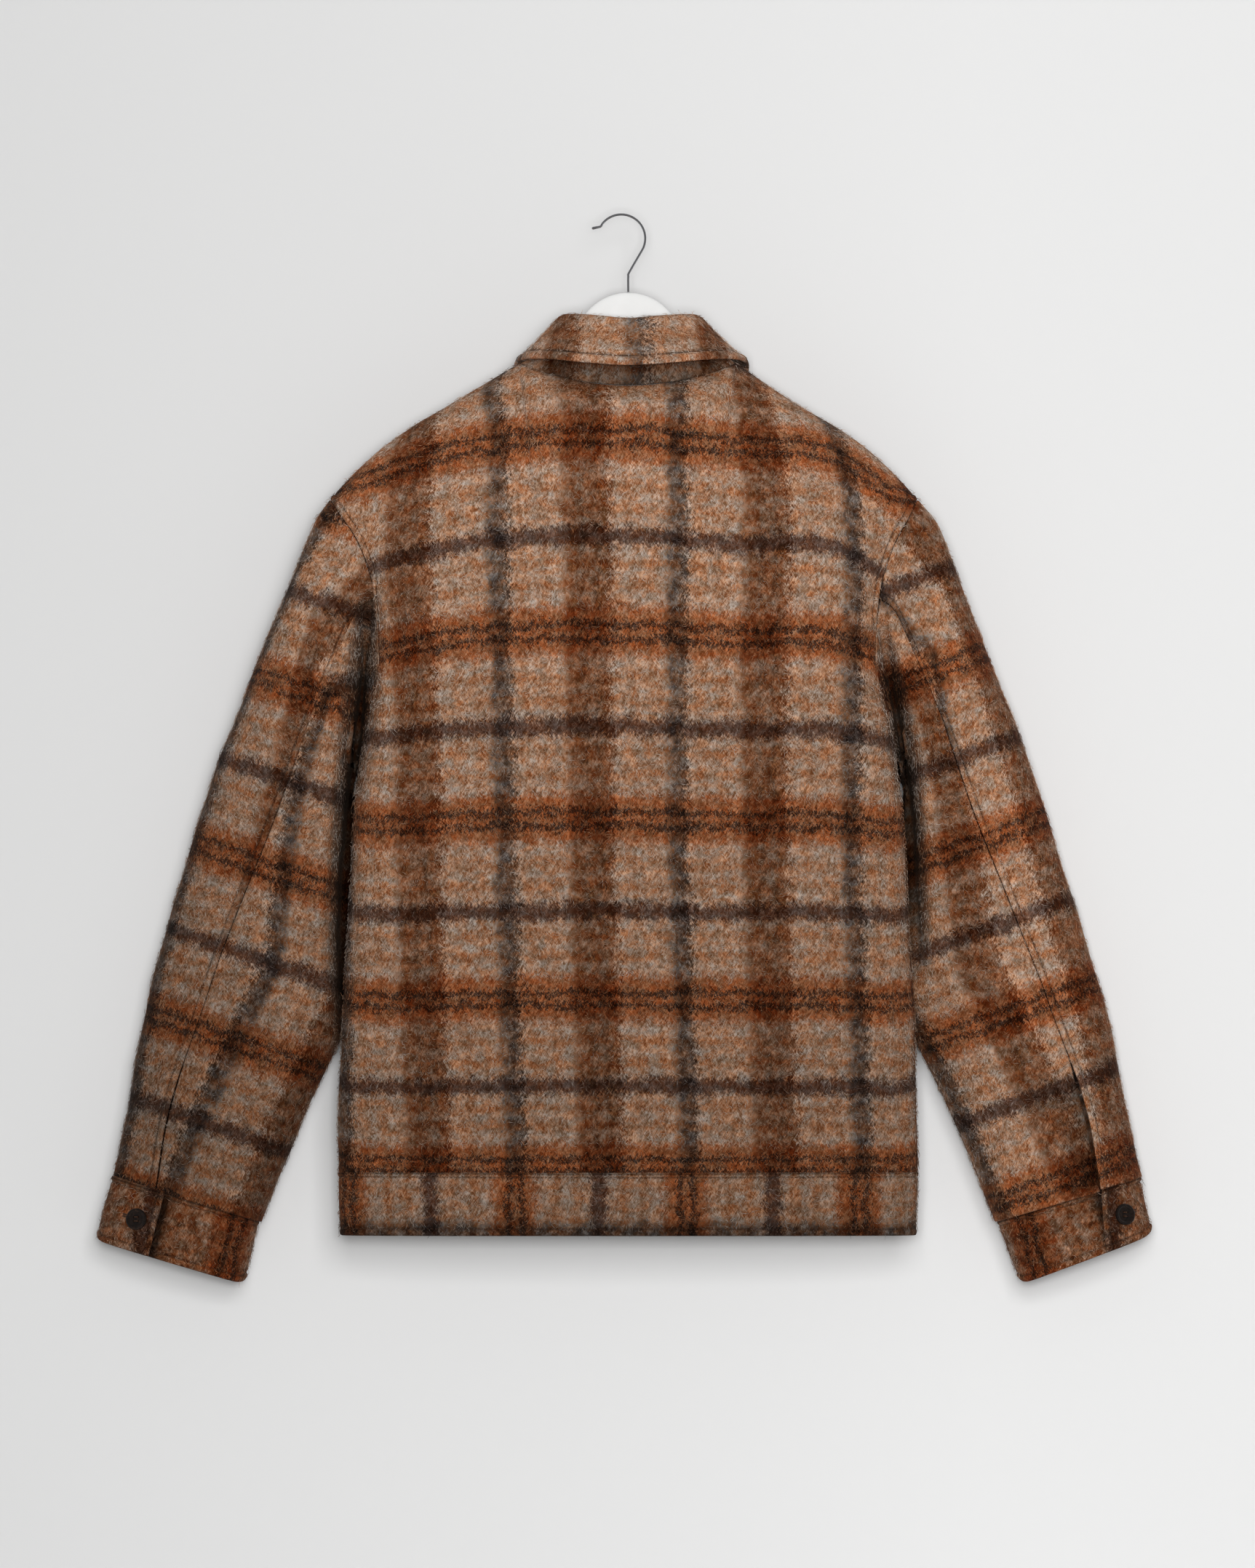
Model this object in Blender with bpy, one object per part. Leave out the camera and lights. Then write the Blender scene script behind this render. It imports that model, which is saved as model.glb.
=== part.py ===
# A checked wool jacket hung on a white hanger with a wire hook.
# Metres, +Z up. The jacket's back faces -Y and its front +Y; its left is -X.
# The origin is the point where the hook rests on a rail.

import bpy
import bmesh
import numpy as np
from math import cos, pi, radians, sin
from mathutils import Vector

COLLECTION = "checked_jacket_on_hanger"

# Cloth thickness, and the gap that is kept at every seam
CLOTH = 0.0025
COLLAR_CLOTH = 0.0030
BAND_CLOTH = 0.0034
SEAM = 0.0003

# Heights below the rail
CHEST = -0.370
UNDERARM = -0.455
BAND_SEAM = -0.800
HEM = -0.852

# The hook stands a little to one side of the jacket's middle
MIDDLE_X = 0.0058

# Shoulders, neck and armholes
SHOULDER_X = 0.246
NECK_X = 0.090
NECK_Y = 0.060
BACK_NECK = -0.142
NECK_POINT = -0.123
FRONT_NECK = -0.205
NECK_SWEEP = 1.8
ARCH = 2.2
SIDE_TURN = radians(114)
FAN = 4
BACK_SQUARE = 3.2
FRONT_SQUARE = 2.4

# The fronts pass each other by this much on either side of the middle
OVERLAP = 0.018
LAP_COLUMNS = 2
LIFT = BAND_CLOTH + SEAM
LIFT_FROM, LIFT_TO = 0.075, 0.030

# How finely each panel is divided
BACK_NECK_TURNS = (0, 22.5, 45, 67.5, 90)
FRONT_NECK_TURNS = (180, 172, 160, 146, 131, 116, 102, 90)
SHOULDER_STEPS = 8
ARCH_ROWS = 7
ARCH_CROWDING = 1.4
ARMHOLE_ROWS = 4
SKIRT_ROWS = 7
BAND_ROWS = 2
SHARP_EDGE = radians(45)


def table(names, rows):
    # A table becomes one array for each named column, sorted by the first one
    columns = zip(names, np.array(sorted(rows)).T)
    return {"along": names[0], **dict(columns)}


def smooth(curve, name, at):
    # Value of a column at a place along the table, on a smooth curve through its rows
    along, value = curve[curve["along"]], curve[name]
    slope = np.gradient(value, along)
    at = np.clip(np.asarray(at, dtype=float), along[0], along[-1])
    i = np.clip(np.searchsorted(along, at) - 1, 0, len(along) - 2)
    step = along[i + 1] - along[i]
    t = (at - along[i]) / step
    start = (1 + 2 * t) * (1 - t) ** 2 * value[i] + t * (1 - t) ** 2 * step * slope[i]
    end = t * t * (3 - 2 * t) * value[i + 1] + t * t * (t - 1) * step * slope[i + 1]
    return start + end


# Horizontal sections of the body below the chest
BODY = table(("height", "half_width", "back", "front", "widest_y"), (
    (-0.370, 0.2148, 0.0620, 0.0580, -0.0120),
    (-0.400, 0.2172, 0.0625, 0.0585, -0.0120),
    (-0.437, 0.2215, 0.0625, 0.0590, -0.0120),
    (-0.467, 0.2265, 0.0620, 0.0590, -0.0120),
    (-0.550, 0.2318, 0.0605, 0.0580, -0.0115),
    (-0.630, 0.2362, 0.0590, 0.0570, -0.0110),
    (-0.707, 0.2405, 0.0575, 0.0560, -0.0105),
    (-0.762, 0.2418, 0.0560, 0.0550, -0.0100),
    (-0.800, 0.2418, 0.0550, 0.0540, -0.0100),
    (-0.852, 0.2405, 0.0540, 0.0530, -0.0100)))

# Armhole edges between the chest (rise 0) and the shoulder point (rise 1)
ARMHOLE = table(("rise", "back_x", "front_x"), (
    (0.00, 0.2075, 0.1900),
    (0.20, 0.2090, 0.1920),
    (0.53, 0.2160, 0.2040),
    (0.75, 0.2275, 0.2220),
    (0.90, 0.2395, 0.2380),
    (1.00, 0.2460, 0.2460)))

# The shoulder seam, which curls down over the end of the hanger
SHOULDER = table(("across", "height"), (
    (0.0900, -0.1230),
    (0.1277, -0.1477),
    (0.1482, -0.1600),
    (0.1800, -0.1780),
    (0.2055, -0.1964),
    (0.2252, -0.2146),
    (0.2460, -0.2370)))

# Largest folds of the back: soft ridges that run down beside the armholes
FOLDS = (
    dict(top=(-0.190, -0.250), foot=(-0.178, -0.350), width=0.017, height=0.0050),
    dict(top=(0.176, -0.300), foot=(0.196, -0.440), width=0.015, height=0.0050),
    dict(top=(-0.150, -0.640), foot=(-0.165, -0.760), width=0.022, height=0.0030),
    dict(top=(0.120, -0.660), foot=(0.128, -0.770), width=0.022, height=0.0030))
FADE_COLUMNS = 2

# Sleeve rings from the shoulder to the cuff: the outer and the inner point, and half the depth
SLEEVE = table(
    ("ring", "outer_x", "outer_y", "outer_z", "inner_x", "inner_y", "inner_z", "depth", "seam"), (
        (2, 0.2740, 0.003, -0.286, 0.2285, 0.025, -0.4690, 0.0450, 85),
        (3, 0.2862, 0.006, -0.319, 0.2300, 0.030, -0.4790, 0.0490, 86),
        (4, 0.2990, 0.010, -0.352, 0.2290, 0.034, -0.4910, 0.0510, 87),
        (5, 0.3138, 0.016, -0.391, 0.2265, 0.038, -0.5070, 0.0510, 87),
        (6, 0.3305, 0.024, -0.436, 0.2230, 0.043, -0.5300, 0.0495, 83),
        (7, 0.3496, 0.033, -0.488, 0.2195, 0.047, -0.5630, 0.0470, 78),
        (8, 0.3680, 0.040, -0.547, 0.2180, 0.049, -0.6060, 0.0440, 71),
        (9, 0.3827, 0.043, -0.598, 0.2225, 0.049, -0.6520, 0.0420, 66),
        (10, 0.3975, 0.044, -0.652, 0.2455, 0.047, -0.7000, 0.0410, 65),
        (11, 0.4100, 0.042, -0.707, 0.2670, 0.044, -0.7440, 0.0400, 62),
        (12, 0.4185, 0.040, -0.753, 0.2860, 0.041, -0.7880, 0.0390, 61),
        (13, 0.4295, 0.037, -0.804, 0.3070, 0.037, -0.8420, 0.0375, 66)))
SLEEVE_SQUARE = 2.3
# The first ring stands off the armhole by these steps at the shoulder and under the arm
SLEEVE_HEAD = dict(shoulder=(0.0160, 0.0010, -0.0200), underarm=(0.0130, 0.0040, -0.0040))
BACK_SEAM_COLUMN = 5
FRONT_SEAM_COLUMN = 15

# Cuff rings, then where each cuff's end and its button lie, as a turn from the outer edge,
# and how far its folded edges lie beside the rings' own
CUFF_RINGS = (
    dict(outer=(0.4272, 0.037, -0.8051), inner=(0.3092, 0.037, -0.8417), depth=0.0355),
    dict(outer=(0.4344, 0.036, -0.8290), inner=(0.3178, 0.036, -0.8675), depth=0.0358),
    dict(outer=(0.4405, 0.035, -0.8527), inner=(0.3257, 0.035, -0.8920), depth=0.0350))
CUFFS = {
    "left": dict(side=-1, end=radians(77), button=radians(57.7),
                 outer=((0, 0), (0, -0.0024), (0, -0.0050)), inner=((0, 0), (-0.0024, -0.0008), (-0.0040, -0.0018))),
    "right": dict(side=1, end=radians(66.7), button=radians(48.5),
                  outer=((-0.0028, -0.0009), (-0.0058, -0.0010), (-0.0066, 0)),
                  inner=((0, 0), (0.0015, -0.0008), (0.0030, -0.0018)))}
CUFF_LAP = radians(52)
CUFF_RISE = radians(50)
CUFF_STEPS = 28

# Collar: the crest where the fall turns over the stand, half its width and depth and its height
COLLAR = table(("turn", "x", "y", "z"), (
    (0, 0.0610, 0.0500, -0.0860),
    (40, 0.0610, 0.0500, -0.0828),
    (65, 0.0610, 0.0500, -0.0828),
    (90, 0.0610, 0.0505, -0.0885),
    (120, 0.0610, 0.0520, -0.1120),
    (150, 0.0600, 0.0540, -0.1480),
    (172, 0.0580, 0.0560, -0.1720)))
# The fall's edge round the back of the neck
FALL_X = 0.0975
FALL_Y = 0.0770
FALL_BACK = table(("turn", "height"), (
    (0, -0.1252),
    (27, -0.1226),
    (46, -0.1198),
    (67, -0.1192),
    (90, -0.1205)))
# The fall turns over in a small roll: steps out from, and up from, the top of the stand
ROLL = (
    dict(out=-COLLAR_CLOTH, up=SEAM),
    dict(out=-COLLAR_CLOTH, up=0.0045),
    dict(out=-0.0005, up=0.0090),
    dict(out=0.0035, up=0.0105),
    dict(out=0.0080, up=0.0085))
CREST = max(ROLL, key=lambda step: step["up"])
FALL_ROWS = 3
STAND_ROWS = 3
# On the front the fall's edge lies clear of the panel, from the shoulder down to the collar point
FALL_FRONT = table(("turn", "fraction", "swing", "clear"), (
    (90, 0.385, 0.00, 0.0075),
    (115, 0.400, 0.30, 0.0090),
    (140, 0.370, 0.56, 0.0105),
    (172, 0.270, 0.82, 0.0120)))
FALL_BULGE = 0.0040
FALL_BULGE_TURNS = (88, 118)

# Buttons
BUTTON_RADIUS = 0.009
BUTTON_THICK = 0.0032
BUTTON_RIM = 0.0022
BUTTON_DISH = 0.0006
BUTTON_SIDES = 20
FRONT_BUTTON_HEIGHTS = (-0.232, -0.346, -0.460, -0.574, -0.688, -0.826)

# Hanger: a dome that stands in the neck, and arms under the shoulder seams
DOME_TOP = -0.064
DOME_RADIUS = 0.045
DOME_REACH = 0.036
ARM_END = 0.206
ARM_HEIGHT = 0.027
DOME_HEIGHT = 0.054
TIP_ROUNDING = 24
HANGER_THICK = 0.011
HANGER_CLEAR = 0.0006
HANGER_NECK = table(("across", "height"), (
    (0.0360, -0.0820),
    (0.0470, -0.0965),
    (0.0585, -0.1080),
    (0.0750, -0.1195),
    (0.0900, -0.1270)))
HANGER_STEPS = 34
HANGER_SIDES = 12

# Hook: a round wire bent to most of a circle over a straight shank
WIRE = 0.0026
HOOK_RADIUS = 0.0200
HOOK_FROM, HOOK_TO = radians(150), radians(-30)
HOOK_STEPS = 16
HOOK_TIP = (-0.0075, -0.0018)
SHANK_BEND = -0.0486
BEND_LENGTH = 0.0022


def unit(vectors):
    return vectors / np.linalg.norm(vectors, axis=-1, keepdims=True)


def blend(start, end, share):
    return start + (end - start) * share


def soft_step(value, low, high):
    t = np.clip((value - low) / (high - low), 0, 1)
    return t * t * (3 - 2 * t)


def body_ring(height, turn):
    # Point of the body at a height; turn 0 is the centre back, 90 degrees the right side
    across, along = np.sin(turn), np.cos(turn)
    at_back = along > 0
    square = np.where(at_back, BACK_SQUARE, FRONT_SQUARE)
    reach = (np.abs(across) ** square + np.abs(along) ** square) ** (1 / square)
    widest = smooth(BODY, "widest_y", height)
    behind, before = smooth(BODY, "back", height) + widest, smooth(BODY, "front", height) - widest
    depth = np.where(at_back, behind, before)
    x = smooth(BODY, "half_width", height) * across / reach
    y = widest - depth * along / reach
    return np.stack(np.broadcast_arrays(x, y, height), axis=-1)


def chest_turn(fraction, edge_x, square):
    # Turn, from the middle, of a column that lies a fraction of the way to the armhole
    share = np.abs(fraction) * edge_x / smooth(BODY, "half_width", CHEST)
    return np.sign(fraction) * np.arctan2(share, (1 - share ** square) ** (1 / square))


def top_edge(fraction, is_back):
    # Neck edge and shoulder seam above each column
    reach = np.abs(fraction) * SHOULDER_X
    on_neck = np.sqrt(1 - np.clip(reach / NECK_X, 0, 1) ** 2)
    low = BACK_NECK if is_back else FRONT_NECK
    neck_z = NECK_POINT + (low - NECK_POINT) * on_neck ** NECK_SWEEP
    z = np.where(reach < NECK_X, neck_z, smooth(SHOULDER, "height", reach))
    y = NECK_Y * on_neck * (-1 if is_back else 1)
    return np.stack((fraction * SHOULDER_X, y, z), axis=-1)


def upper_point(fraction, rise, is_back):
    # Point of the yoke, which arches from the chest up to the neck and the shoulder seam
    name, square = ("back_x", BACK_SQUARE) if is_back else ("front_x", FRONT_SQUARE)
    turn = chest_turn(fraction, smooth(ARMHOLE, name, 0), square)
    chest = body_ring(CHEST, turn if is_back else pi - turn)
    top = top_edge(fraction, is_back)
    x = fraction * smooth(ARMHOLE, name, rise)
    y = blend(top[..., 1], chest[..., 1], (1 - rise ** ARCH) ** (1 / ARCH))
    z = blend(CHEST, top[..., 2], rise)
    return np.stack(np.broadcast_arrays(x, y, z), axis=-1)


def spread(turn, reach):
    # Below the armhole the outer columns fan out to the side seam and the inner ones run straight down
    edge = turn[-1]
    return turn + (reach - edge) * np.sign(turn) * np.abs(turn / edge) ** FAN


def fold_height(points):
    lift = np.zeros(points.shape[:-1])
    for fold in FOLDS:
        (top_x, top_z), (foot_x, foot_z) = fold["top"], fold["foot"]
        down = (points[..., 2] - top_z) / (foot_z - top_z)
        away = (points[..., 0] - blend(top_x, foot_x, down)) / fold["width"]
        lift += fold["height"] * np.exp(-away ** 2 - (2 * down - 1) ** 4)
    return lift


def row_rises():
    return 1 - (np.arange(ARCH_ROWS + 1) / ARCH_ROWS) ** ARCH_CROWDING


def armhole_rows():
    return np.sin(np.arange(1, ARMHOLE_ROWS + 1) / ARMHOLE_ROWS * pi / 2)


def body_panel(fraction, is_back):
    # Rows from the neck and shoulder seam down to the band seam
    name, square = ("back_x", BACK_SQUARE) if is_back else ("front_x", FRONT_SQUARE)
    edge_x = smooth(ARMHOLE, name, 0)
    yoke = [upper_point(fraction, rise, is_back) for rise in row_rises()]
    turn = chest_turn(fraction, edge_x, square)
    side = SIDE_TURN if is_back else pi - SIDE_TURN
    rows = []
    for sink in armhole_rows():
        reach = blend(turn[-1], side, 1 - np.sqrt(1 - sink ** 2))
        rows.append((blend(CHEST, UNDERARM, sink), reach))
    rows += [(height, side) for height in np.linspace(UNDERARM, BAND_SEAM, SKIRT_ROWS + 1)[1:]]
    skirt = []
    for height, reach in rows:
        fanned = spread(turn, reach)
        skirt.append(body_ring(np.full(len(fraction), height), fanned if is_back else pi - fanned))
    return np.array(yoke + skirt)


def grid_normals(grid, centre):
    normals = unit(np.cross(np.gradient(grid, axis=1), np.gradient(grid, axis=0)))
    facing = np.sum(normals * (grid - centre), axis=-1)
    return normals * np.where(np.mean(facing) < 0, -1, 1)


def shoulder_slope(across):
    probe = 0.002
    ahead, behind = smooth(SHOULDER, "height", across + probe), smooth(SHOULDER, "height", across - probe)
    return (ahead - behind) / (2 * probe)


def seam_normals(grid, normals, fraction):
    # Neighbouring panels share these normals along the side, shoulder and band seams
    slope = shoulder_slope(np.clip(np.abs(grid[0, :, 0]), NECK_X, SHOULDER_X))
    up = unit(np.stack((-slope * np.sign(fraction), 0 * slope, 0 * slope + 1), axis=-1))
    on_shoulder = np.abs(fraction) * SHOULDER_X >= NECK_X
    normals[0][on_shoulder] = up[on_shoulder]
    normals[-1, :, 2] = 0
    normals[-1] = unit(normals[-1])


def side_normal(height):
    probe = radians(0.5)
    along = body_ring(height, SIDE_TURN + probe) - body_ring(height, SIDE_TURN - probe)
    return unit(np.stack((along[..., 1], -along[..., 0], 0 * along[..., 0]), axis=-1))


def column_fractions(neck_turns):
    # Columns from the middle to the side: round the neck, then along the shoulder
    neck = NECK_X / SHOULDER_X
    round_neck = neck * np.sin(np.radians(neck_turns))
    return np.concatenate((round_neck, np.linspace(neck, 1, SHOULDER_STEPS + 1)[1:]))


def back_fractions():
    half = column_fractions(BACK_NECK_TURNS)
    return np.concatenate((-half[:0:-1], half))


def front_fractions():
    # A front starts past the middle, under or over the other one
    half = column_fractions(FRONT_NECK_TURNS)
    past_middle = (-OVERLAP / SHOULDER_X, -half[1])
    return np.concatenate((past_middle, half))


def trimmed(grid):
    # Each edge is drawn back by half the seam gap
    cut = grid.copy()
    for edge, inner in (((0,), (1,)), ((-1,), (-2,))):
        cut[edge] += unit(grid[inner] - grid[edge]) * SEAM / 2
        cut[:, edge[0]] += unit(grid[:, inner[0]] - grid[:, edge[0]]) * SEAM / 2
    return cut


def cloth_mesh(name, grid, normals, thickness):
    # A wall between a grid of outer points and the same points moved in along their normals
    rows, columns = grid.shape[:2]
    mesh = bmesh.new()
    layers = []
    for layer in (grid, grid - normals * thickness):
        layers.append([[mesh.verts.new(point) for point in row] for row in layer])
    outer, inner = layers
    for i in range(rows - 1):
        for j in range(columns - 1):
            for sheet in layers:
                mesh.faces.new((sheet[i][j], sheet[i][j + 1], sheet[i + 1][j + 1], sheet[i + 1][j]))
    rim = [(0, j) for j in range(columns)] + [(i, columns - 1) for i in range(1, rows)]
    rim += [(rows - 1, j) for j in range(columns - 2, -1, -1)] + [(i, 0) for i in range(rows - 2, 0, -1)]
    for (i, j), (k, m) in zip(rim, rim[1:] + rim[:1]):
        if outer[i][j].co.z < outer[k][m].co.z:
            i, j, k, m = k, m, i, j
        # Both sides of a seam are split along the same diagonal
        mesh.faces.new((outer[i][j], outer[k][m], inner[k][m]))
        mesh.faces.new((outer[i][j], inner[k][m], inner[i][j]))
    bmesh.ops.recalc_face_normals(mesh, faces=mesh.faces)
    data = bpy.data.meshes.new(name)
    mesh.to_mesh(data)
    mesh.free()
    data.shade_smooth()
    data.set_sharp_from_angle(angle=SHARP_EDGE)
    return data


def material(name, colour, roughness, metallic=0.0):
    made = bpy.data.materials.new(name)
    made.use_nodes = True
    shader = made.node_tree.nodes["Principled BSDF"]
    shader.inputs["Base Color"].default_value = (*colour, 1)
    shader.inputs["Roughness"].default_value = roughness
    shader.inputs["Metallic"].default_value = metallic
    return made


def add_object(name, data, finish, middle, place):
    piece = bpy.data.objects.new(name, data)
    data.materials.append(material(name + "_finish", *finish))
    place.objects.link(piece)
    piece.parent = middle
    return piece


WOOL = ((0.28, 0.17, 0.11), 0.95)
HORN = ((0.018, 0.013, 0.011), 0.35)
WHITE = ((0.85, 0.85, 0.84), 0.45)
CHROME = ((0.75, 0.75, 0.76), 0.12, 1.0)


def mirrored(points, side):
    return points * np.array((side, 1, 1))


def sleeve_turns(ring):
    seam = radians(float(smooth(SLEEVE, "seam", ring)))
    half = ARCH_ROWS + ARMHOLE_ROWS
    back = np.interp(np.arange(half + 1), (0, BACK_SEAM_COLUMN, half), (0, seam, pi))
    front = np.linspace(pi, 2 * pi, half + 1)[1:]
    return np.concatenate((back, front))


def tube_ring(outer, inner, depth, turns):
    # Ring of a flattened tube, its points and its normals; turn 0 is the outer edge
    outer, inner = np.array(outer), np.array(inner)
    across, along = np.cos(turns), np.sin(turns)
    reach = (np.abs(across) ** SLEEVE_SQUARE + np.abs(along) ** SLEEVE_SQUARE) ** (1 / SLEEVE_SQUARE)
    half = (outer - inner) / 2
    towards_back = np.array((0, -1, 0))
    points = (outer + inner) / 2 + np.outer(across / reach, half)
    points += np.outer(along / reach * depth, towards_back)
    power = SLEEVE_SQUARE - 1
    width = np.linalg.norm(half)
    across_part = np.sign(across) * np.abs(across / reach) ** power / width
    along_part = np.sign(along) * np.abs(along / reach) ** power / depth
    return points, unit(np.outer(across_part, half / width) + np.outer(along_part, towards_back))


def sleeve_ring(ring):
    outer = [float(smooth(SLEEVE, "outer_" + axis, ring)) for axis in "xyz"]
    inner = [float(smooth(SLEEVE, "inner_" + axis, ring)) for axis in "xyz"]
    return tube_ring(outer, inner, float(smooth(SLEEVE, "depth", ring)), sleeve_turns(ring))


def sleeve_head(loop):
    turns = np.linspace(0, 2 * pi, len(loop))
    share = ((1 - np.cos(turns)) / 2)[:, None]
    return loop + blend(np.array(SLEEVE_HEAD["shoulder"]), np.array(SLEEVE_HEAD["underarm"]), share)


def armhole(back, front, back_normals, front_normals):
    # The loop where body and sleeve meet, with normals that both of them share
    last = ARCH_ROWS + ARMHOLE_ROWS
    loop = np.concatenate((back[:last + 1, -1], front[:last + 1, -1][::-1][1:]))
    body = np.concatenate((back_normals[:last + 1, -1], front_normals[:last + 1, -1][::-1][1:]))
    next_ring, outward = sleeve_head(loop), sleeve_ring(SLEEVE["ring"][0])[1]
    around = np.gradient(np.concatenate((loop[-2:-1], loop, loop[1:2])), axis=0)[1:-1]
    sleeve = unit(np.cross(around, next_ring - loop))
    sleeve *= np.sign(np.sum(sleeve * outward, axis=-1, keepdims=True))
    shared = unit(unit(body) + sleeve)
    shared[-1] = shared[0]
    back_normals[:last + 1, -1] = shared[:last + 1]
    front_normals[:last + 1, -1] = shared[last:][::-1]
    return loop, shared


def share_neck(back_normals, front_normals, lean):
    # Body and collar stand share their normals along the neck seam
    middle = lean.shape[1] // 2
    centre_back = back_normals.shape[1] // 2
    point = len(BACK_NECK_TURNS) - 1
    front_point = LAP_COLUMNS + len(FRONT_NECK_TURNS) - 1
    for step in range(middle + 1):
        on_front = front_point + point - step
        body = back_normals[0, centre_back + step] if step <= point else front_normals[0, on_front]
        shared = unit(body + lean[0, middle + step])
        if step <= point:
            back_normals[0, centre_back + step] = shared
            back_normals[0, centre_back - step] = mirrored(shared, -1)
        if step >= point:
            front_normals[0, on_front] = shared
        lean[0, middle + step] = shared
        lean[0, middle - step] = mirrored(shared, -1)
    front_normals[0, LAP_COLUMNS] = unit(shared * np.array((0, 1, 1)))
    front_normals[0, :LAP_COLUMNS] = mirrored(shared, -1)


def build_body(add, lean):
    across = back_fractions()
    middle = np.array((0, 0, (CHEST + BAND_SEAM) / 2))
    back = body_panel(across, True)
    back_normals = grid_normals(back, middle)
    front_across = front_fractions()
    front = body_panel(front_across, False)
    front_normals = grid_normals(front, middle)
    seam_normals(back, back_normals, across)
    seam_normals(front, front_normals, front_across)
    skirt = ARCH_ROWS + ARMHOLE_ROWS
    for normals, grid in ((back_normals, back), (front_normals, front)):
        normals[skirt:, -1] = side_normal(grid[skirt:, -1, 2])
    loop, shared = armhole(back, front, back_normals, front_normals)
    back_normals[:, 0] = mirrored(back_normals[:, -1], -1)
    share_neck(back_normals, front_normals, lean)

    folded = back + back_normals * fold_height(back)[..., None] * edge_fade(back.shape)
    add("back", cloth_mesh("back", trimmed(folded), back_normals, CLOTH), WOOL)
    for name, side in (("left", -1), ("right", 1)):
        over = front + front_normals * front_lift(front, side)[..., None]
        shaped = mirrored(trimmed(over), side)
        add("front_" + name, cloth_mesh("front_" + name, shaped, mirrored(front_normals, side), CLOTH), WOOL)
    return loop, shared


def edge_fade(shape):
    # Folds die away at a panel's edges, so that its seams stay together
    rows, columns = (np.minimum(np.arange(n), np.arange(n)[::-1]) for n in shape[:2])
    fade = np.minimum(1, rows[:, None] / FADE_COLUMNS) * np.minimum(1, columns / FADE_COLUMNS)
    return fade[..., None]


def front_lift(grid, side):
    # The right front passes over the left one along the middle
    if side < 0:
        return np.zeros(grid.shape[:-1])
    return LIFT * (1 - soft_step(grid[..., 0], LIFT_TO, LIFT_FROM))


def build_sleeves(add, loop, shared):
    rings = [sleeve_ring(ring) for ring in SLEEVE["ring"]]
    grid = np.array([loop, sleeve_head(loop)] + [points for points, _ in rings])
    normals = np.array([shared, unit(shared + rings[0][1])] + [normal for _, normal in rings])
    last = len(loop) - 1
    upper = list(range(FRONT_SEAM_COLUMN, last)) + list(range(BACK_SEAM_COLUMN + 1))
    under = list(range(BACK_SEAM_COLUMN, FRONT_SEAM_COLUMN + 1))
    for name, side in (("left", -1), ("right", 1)):
        for part, columns in (("upper", upper), ("under", under)):
            node = f"sleeve_{part}_{name}"
            piece = mirrored(trimmed(grid[:, columns]), side)
            add(node, cloth_mesh(node, piece, mirrored(normals[:, columns], side), CLOTH), WOOL)


def cuff_lift(turns, end):
    # The buttoned end lies on the under end
    start = 2 * pi + end - CUFF_LAP
    return (BAND_CLOTH + SEAM) * soft_step(turns, start - CUFF_RISE, start)


def cuff_point(row, turn, cuff):
    ring = CUFF_RINGS[row]
    moved = []
    for edge in ("outer", "inner"):
        aside, up = cuff[edge][row]
        moved.append(np.array(ring[edge]) + np.array((aside, 0, up)))
    points, normals = tube_ring(*moved, ring["depth"], turn)
    return points + normals * cuff_lift(turn, cuff["end"])[..., None], normals


def build_cuffs(add, add_button):
    for name, cuff in CUFFS.items():
        turns = np.linspace(cuff["end"] - CUFF_LAP, 2 * pi + cuff["end"], CUFF_STEPS + 1)
        rows = [cuff_point(row, turns, cuff) for row in range(len(CUFF_RINGS))]
        grid = mirrored(np.array([points for points, _ in rows]), cuff["side"])
        normals = mirrored(np.array([normal for _, normal in rows]), cuff["side"])
        add("cuff_" + name, cloth_mesh("cuff_" + name, trimmed(grid), normals, BAND_CLOTH), WOOL)
        seat, normal = cuff_point(1, np.array((2 * pi + cuff["button"],)), cuff)
        add_button("cuff_button_" + name, mirrored(seat[0], cuff["side"]), mirrored(normal[0], cuff["side"]))


def build_band(add):
    heights = np.linspace(BAND_SEAM, HEM, BAND_ROWS + 1)
    turn = chest_turn(back_fractions(), smooth(ARMHOLE, "back_x", 0), BACK_SQUARE)
    back_turn = spread(turn, SIDE_TURN)
    turn = chest_turn(front_fractions(), smooth(ARMHOLE, "front_x", 0), FRONT_SQUARE)
    front_turn = pi - spread(turn, pi - SIDE_TURN)
    stretches = (("back", back_turn, 1), ("front_left", front_turn, -1), ("front_right", front_turn, 1))
    for name, turns, side in stretches:
        grid = np.array([body_ring(np.full(len(turns), height), turns) for height in heights])
        normals = grid_normals(grid, np.array((0, 0, HEM)))
        normals[..., 2] = 0
        normals = unit(normals)
        normals[:, -1] = side_normal(grid[:, -1, 2])
        if name == "back":
            normals[:, 0] = mirrored(normals[:, -1], -1)
        else:
            grid = mirrored(grid + normals * front_lift(grid, side)[..., None], side)
            normals = mirrored(normals, side)
        node = "hem_band_" + name
        add(node, cloth_mesh(node, trimmed(grid), normals, BAND_CLOTH), WOOL)


def collar_turns():
    # The collar's columns stand over the body's neck columns
    half = np.radians(BACK_NECK_TURNS + FRONT_NECK_TURNS[-2:0:-1])
    return np.concatenate((-half[:0:-1], half))


def neck_ring(turns):
    fraction = np.sin(turns) * NECK_X / SHOULDER_X
    is_back = (np.abs(turns) <= pi / 2)[:, None]
    return np.where(is_back, top_edge(fraction, True), top_edge(fraction, False))


def stand_top(turns):
    # The fall's crest lies above and outside the stand's top edge
    degrees = np.degrees(np.abs(turns))
    x, y, z = (smooth(COLLAR, axis, degrees) for axis in "xyz")
    outward = unit(np.stack((np.sin(turns) / x, -np.cos(turns) / y, 0 * turns), axis=-1))
    points = np.stack((x * np.sin(turns), -y * np.cos(turns), z - CREST["up"]), axis=-1)
    return points - outward * CREST["out"], outward


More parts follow.
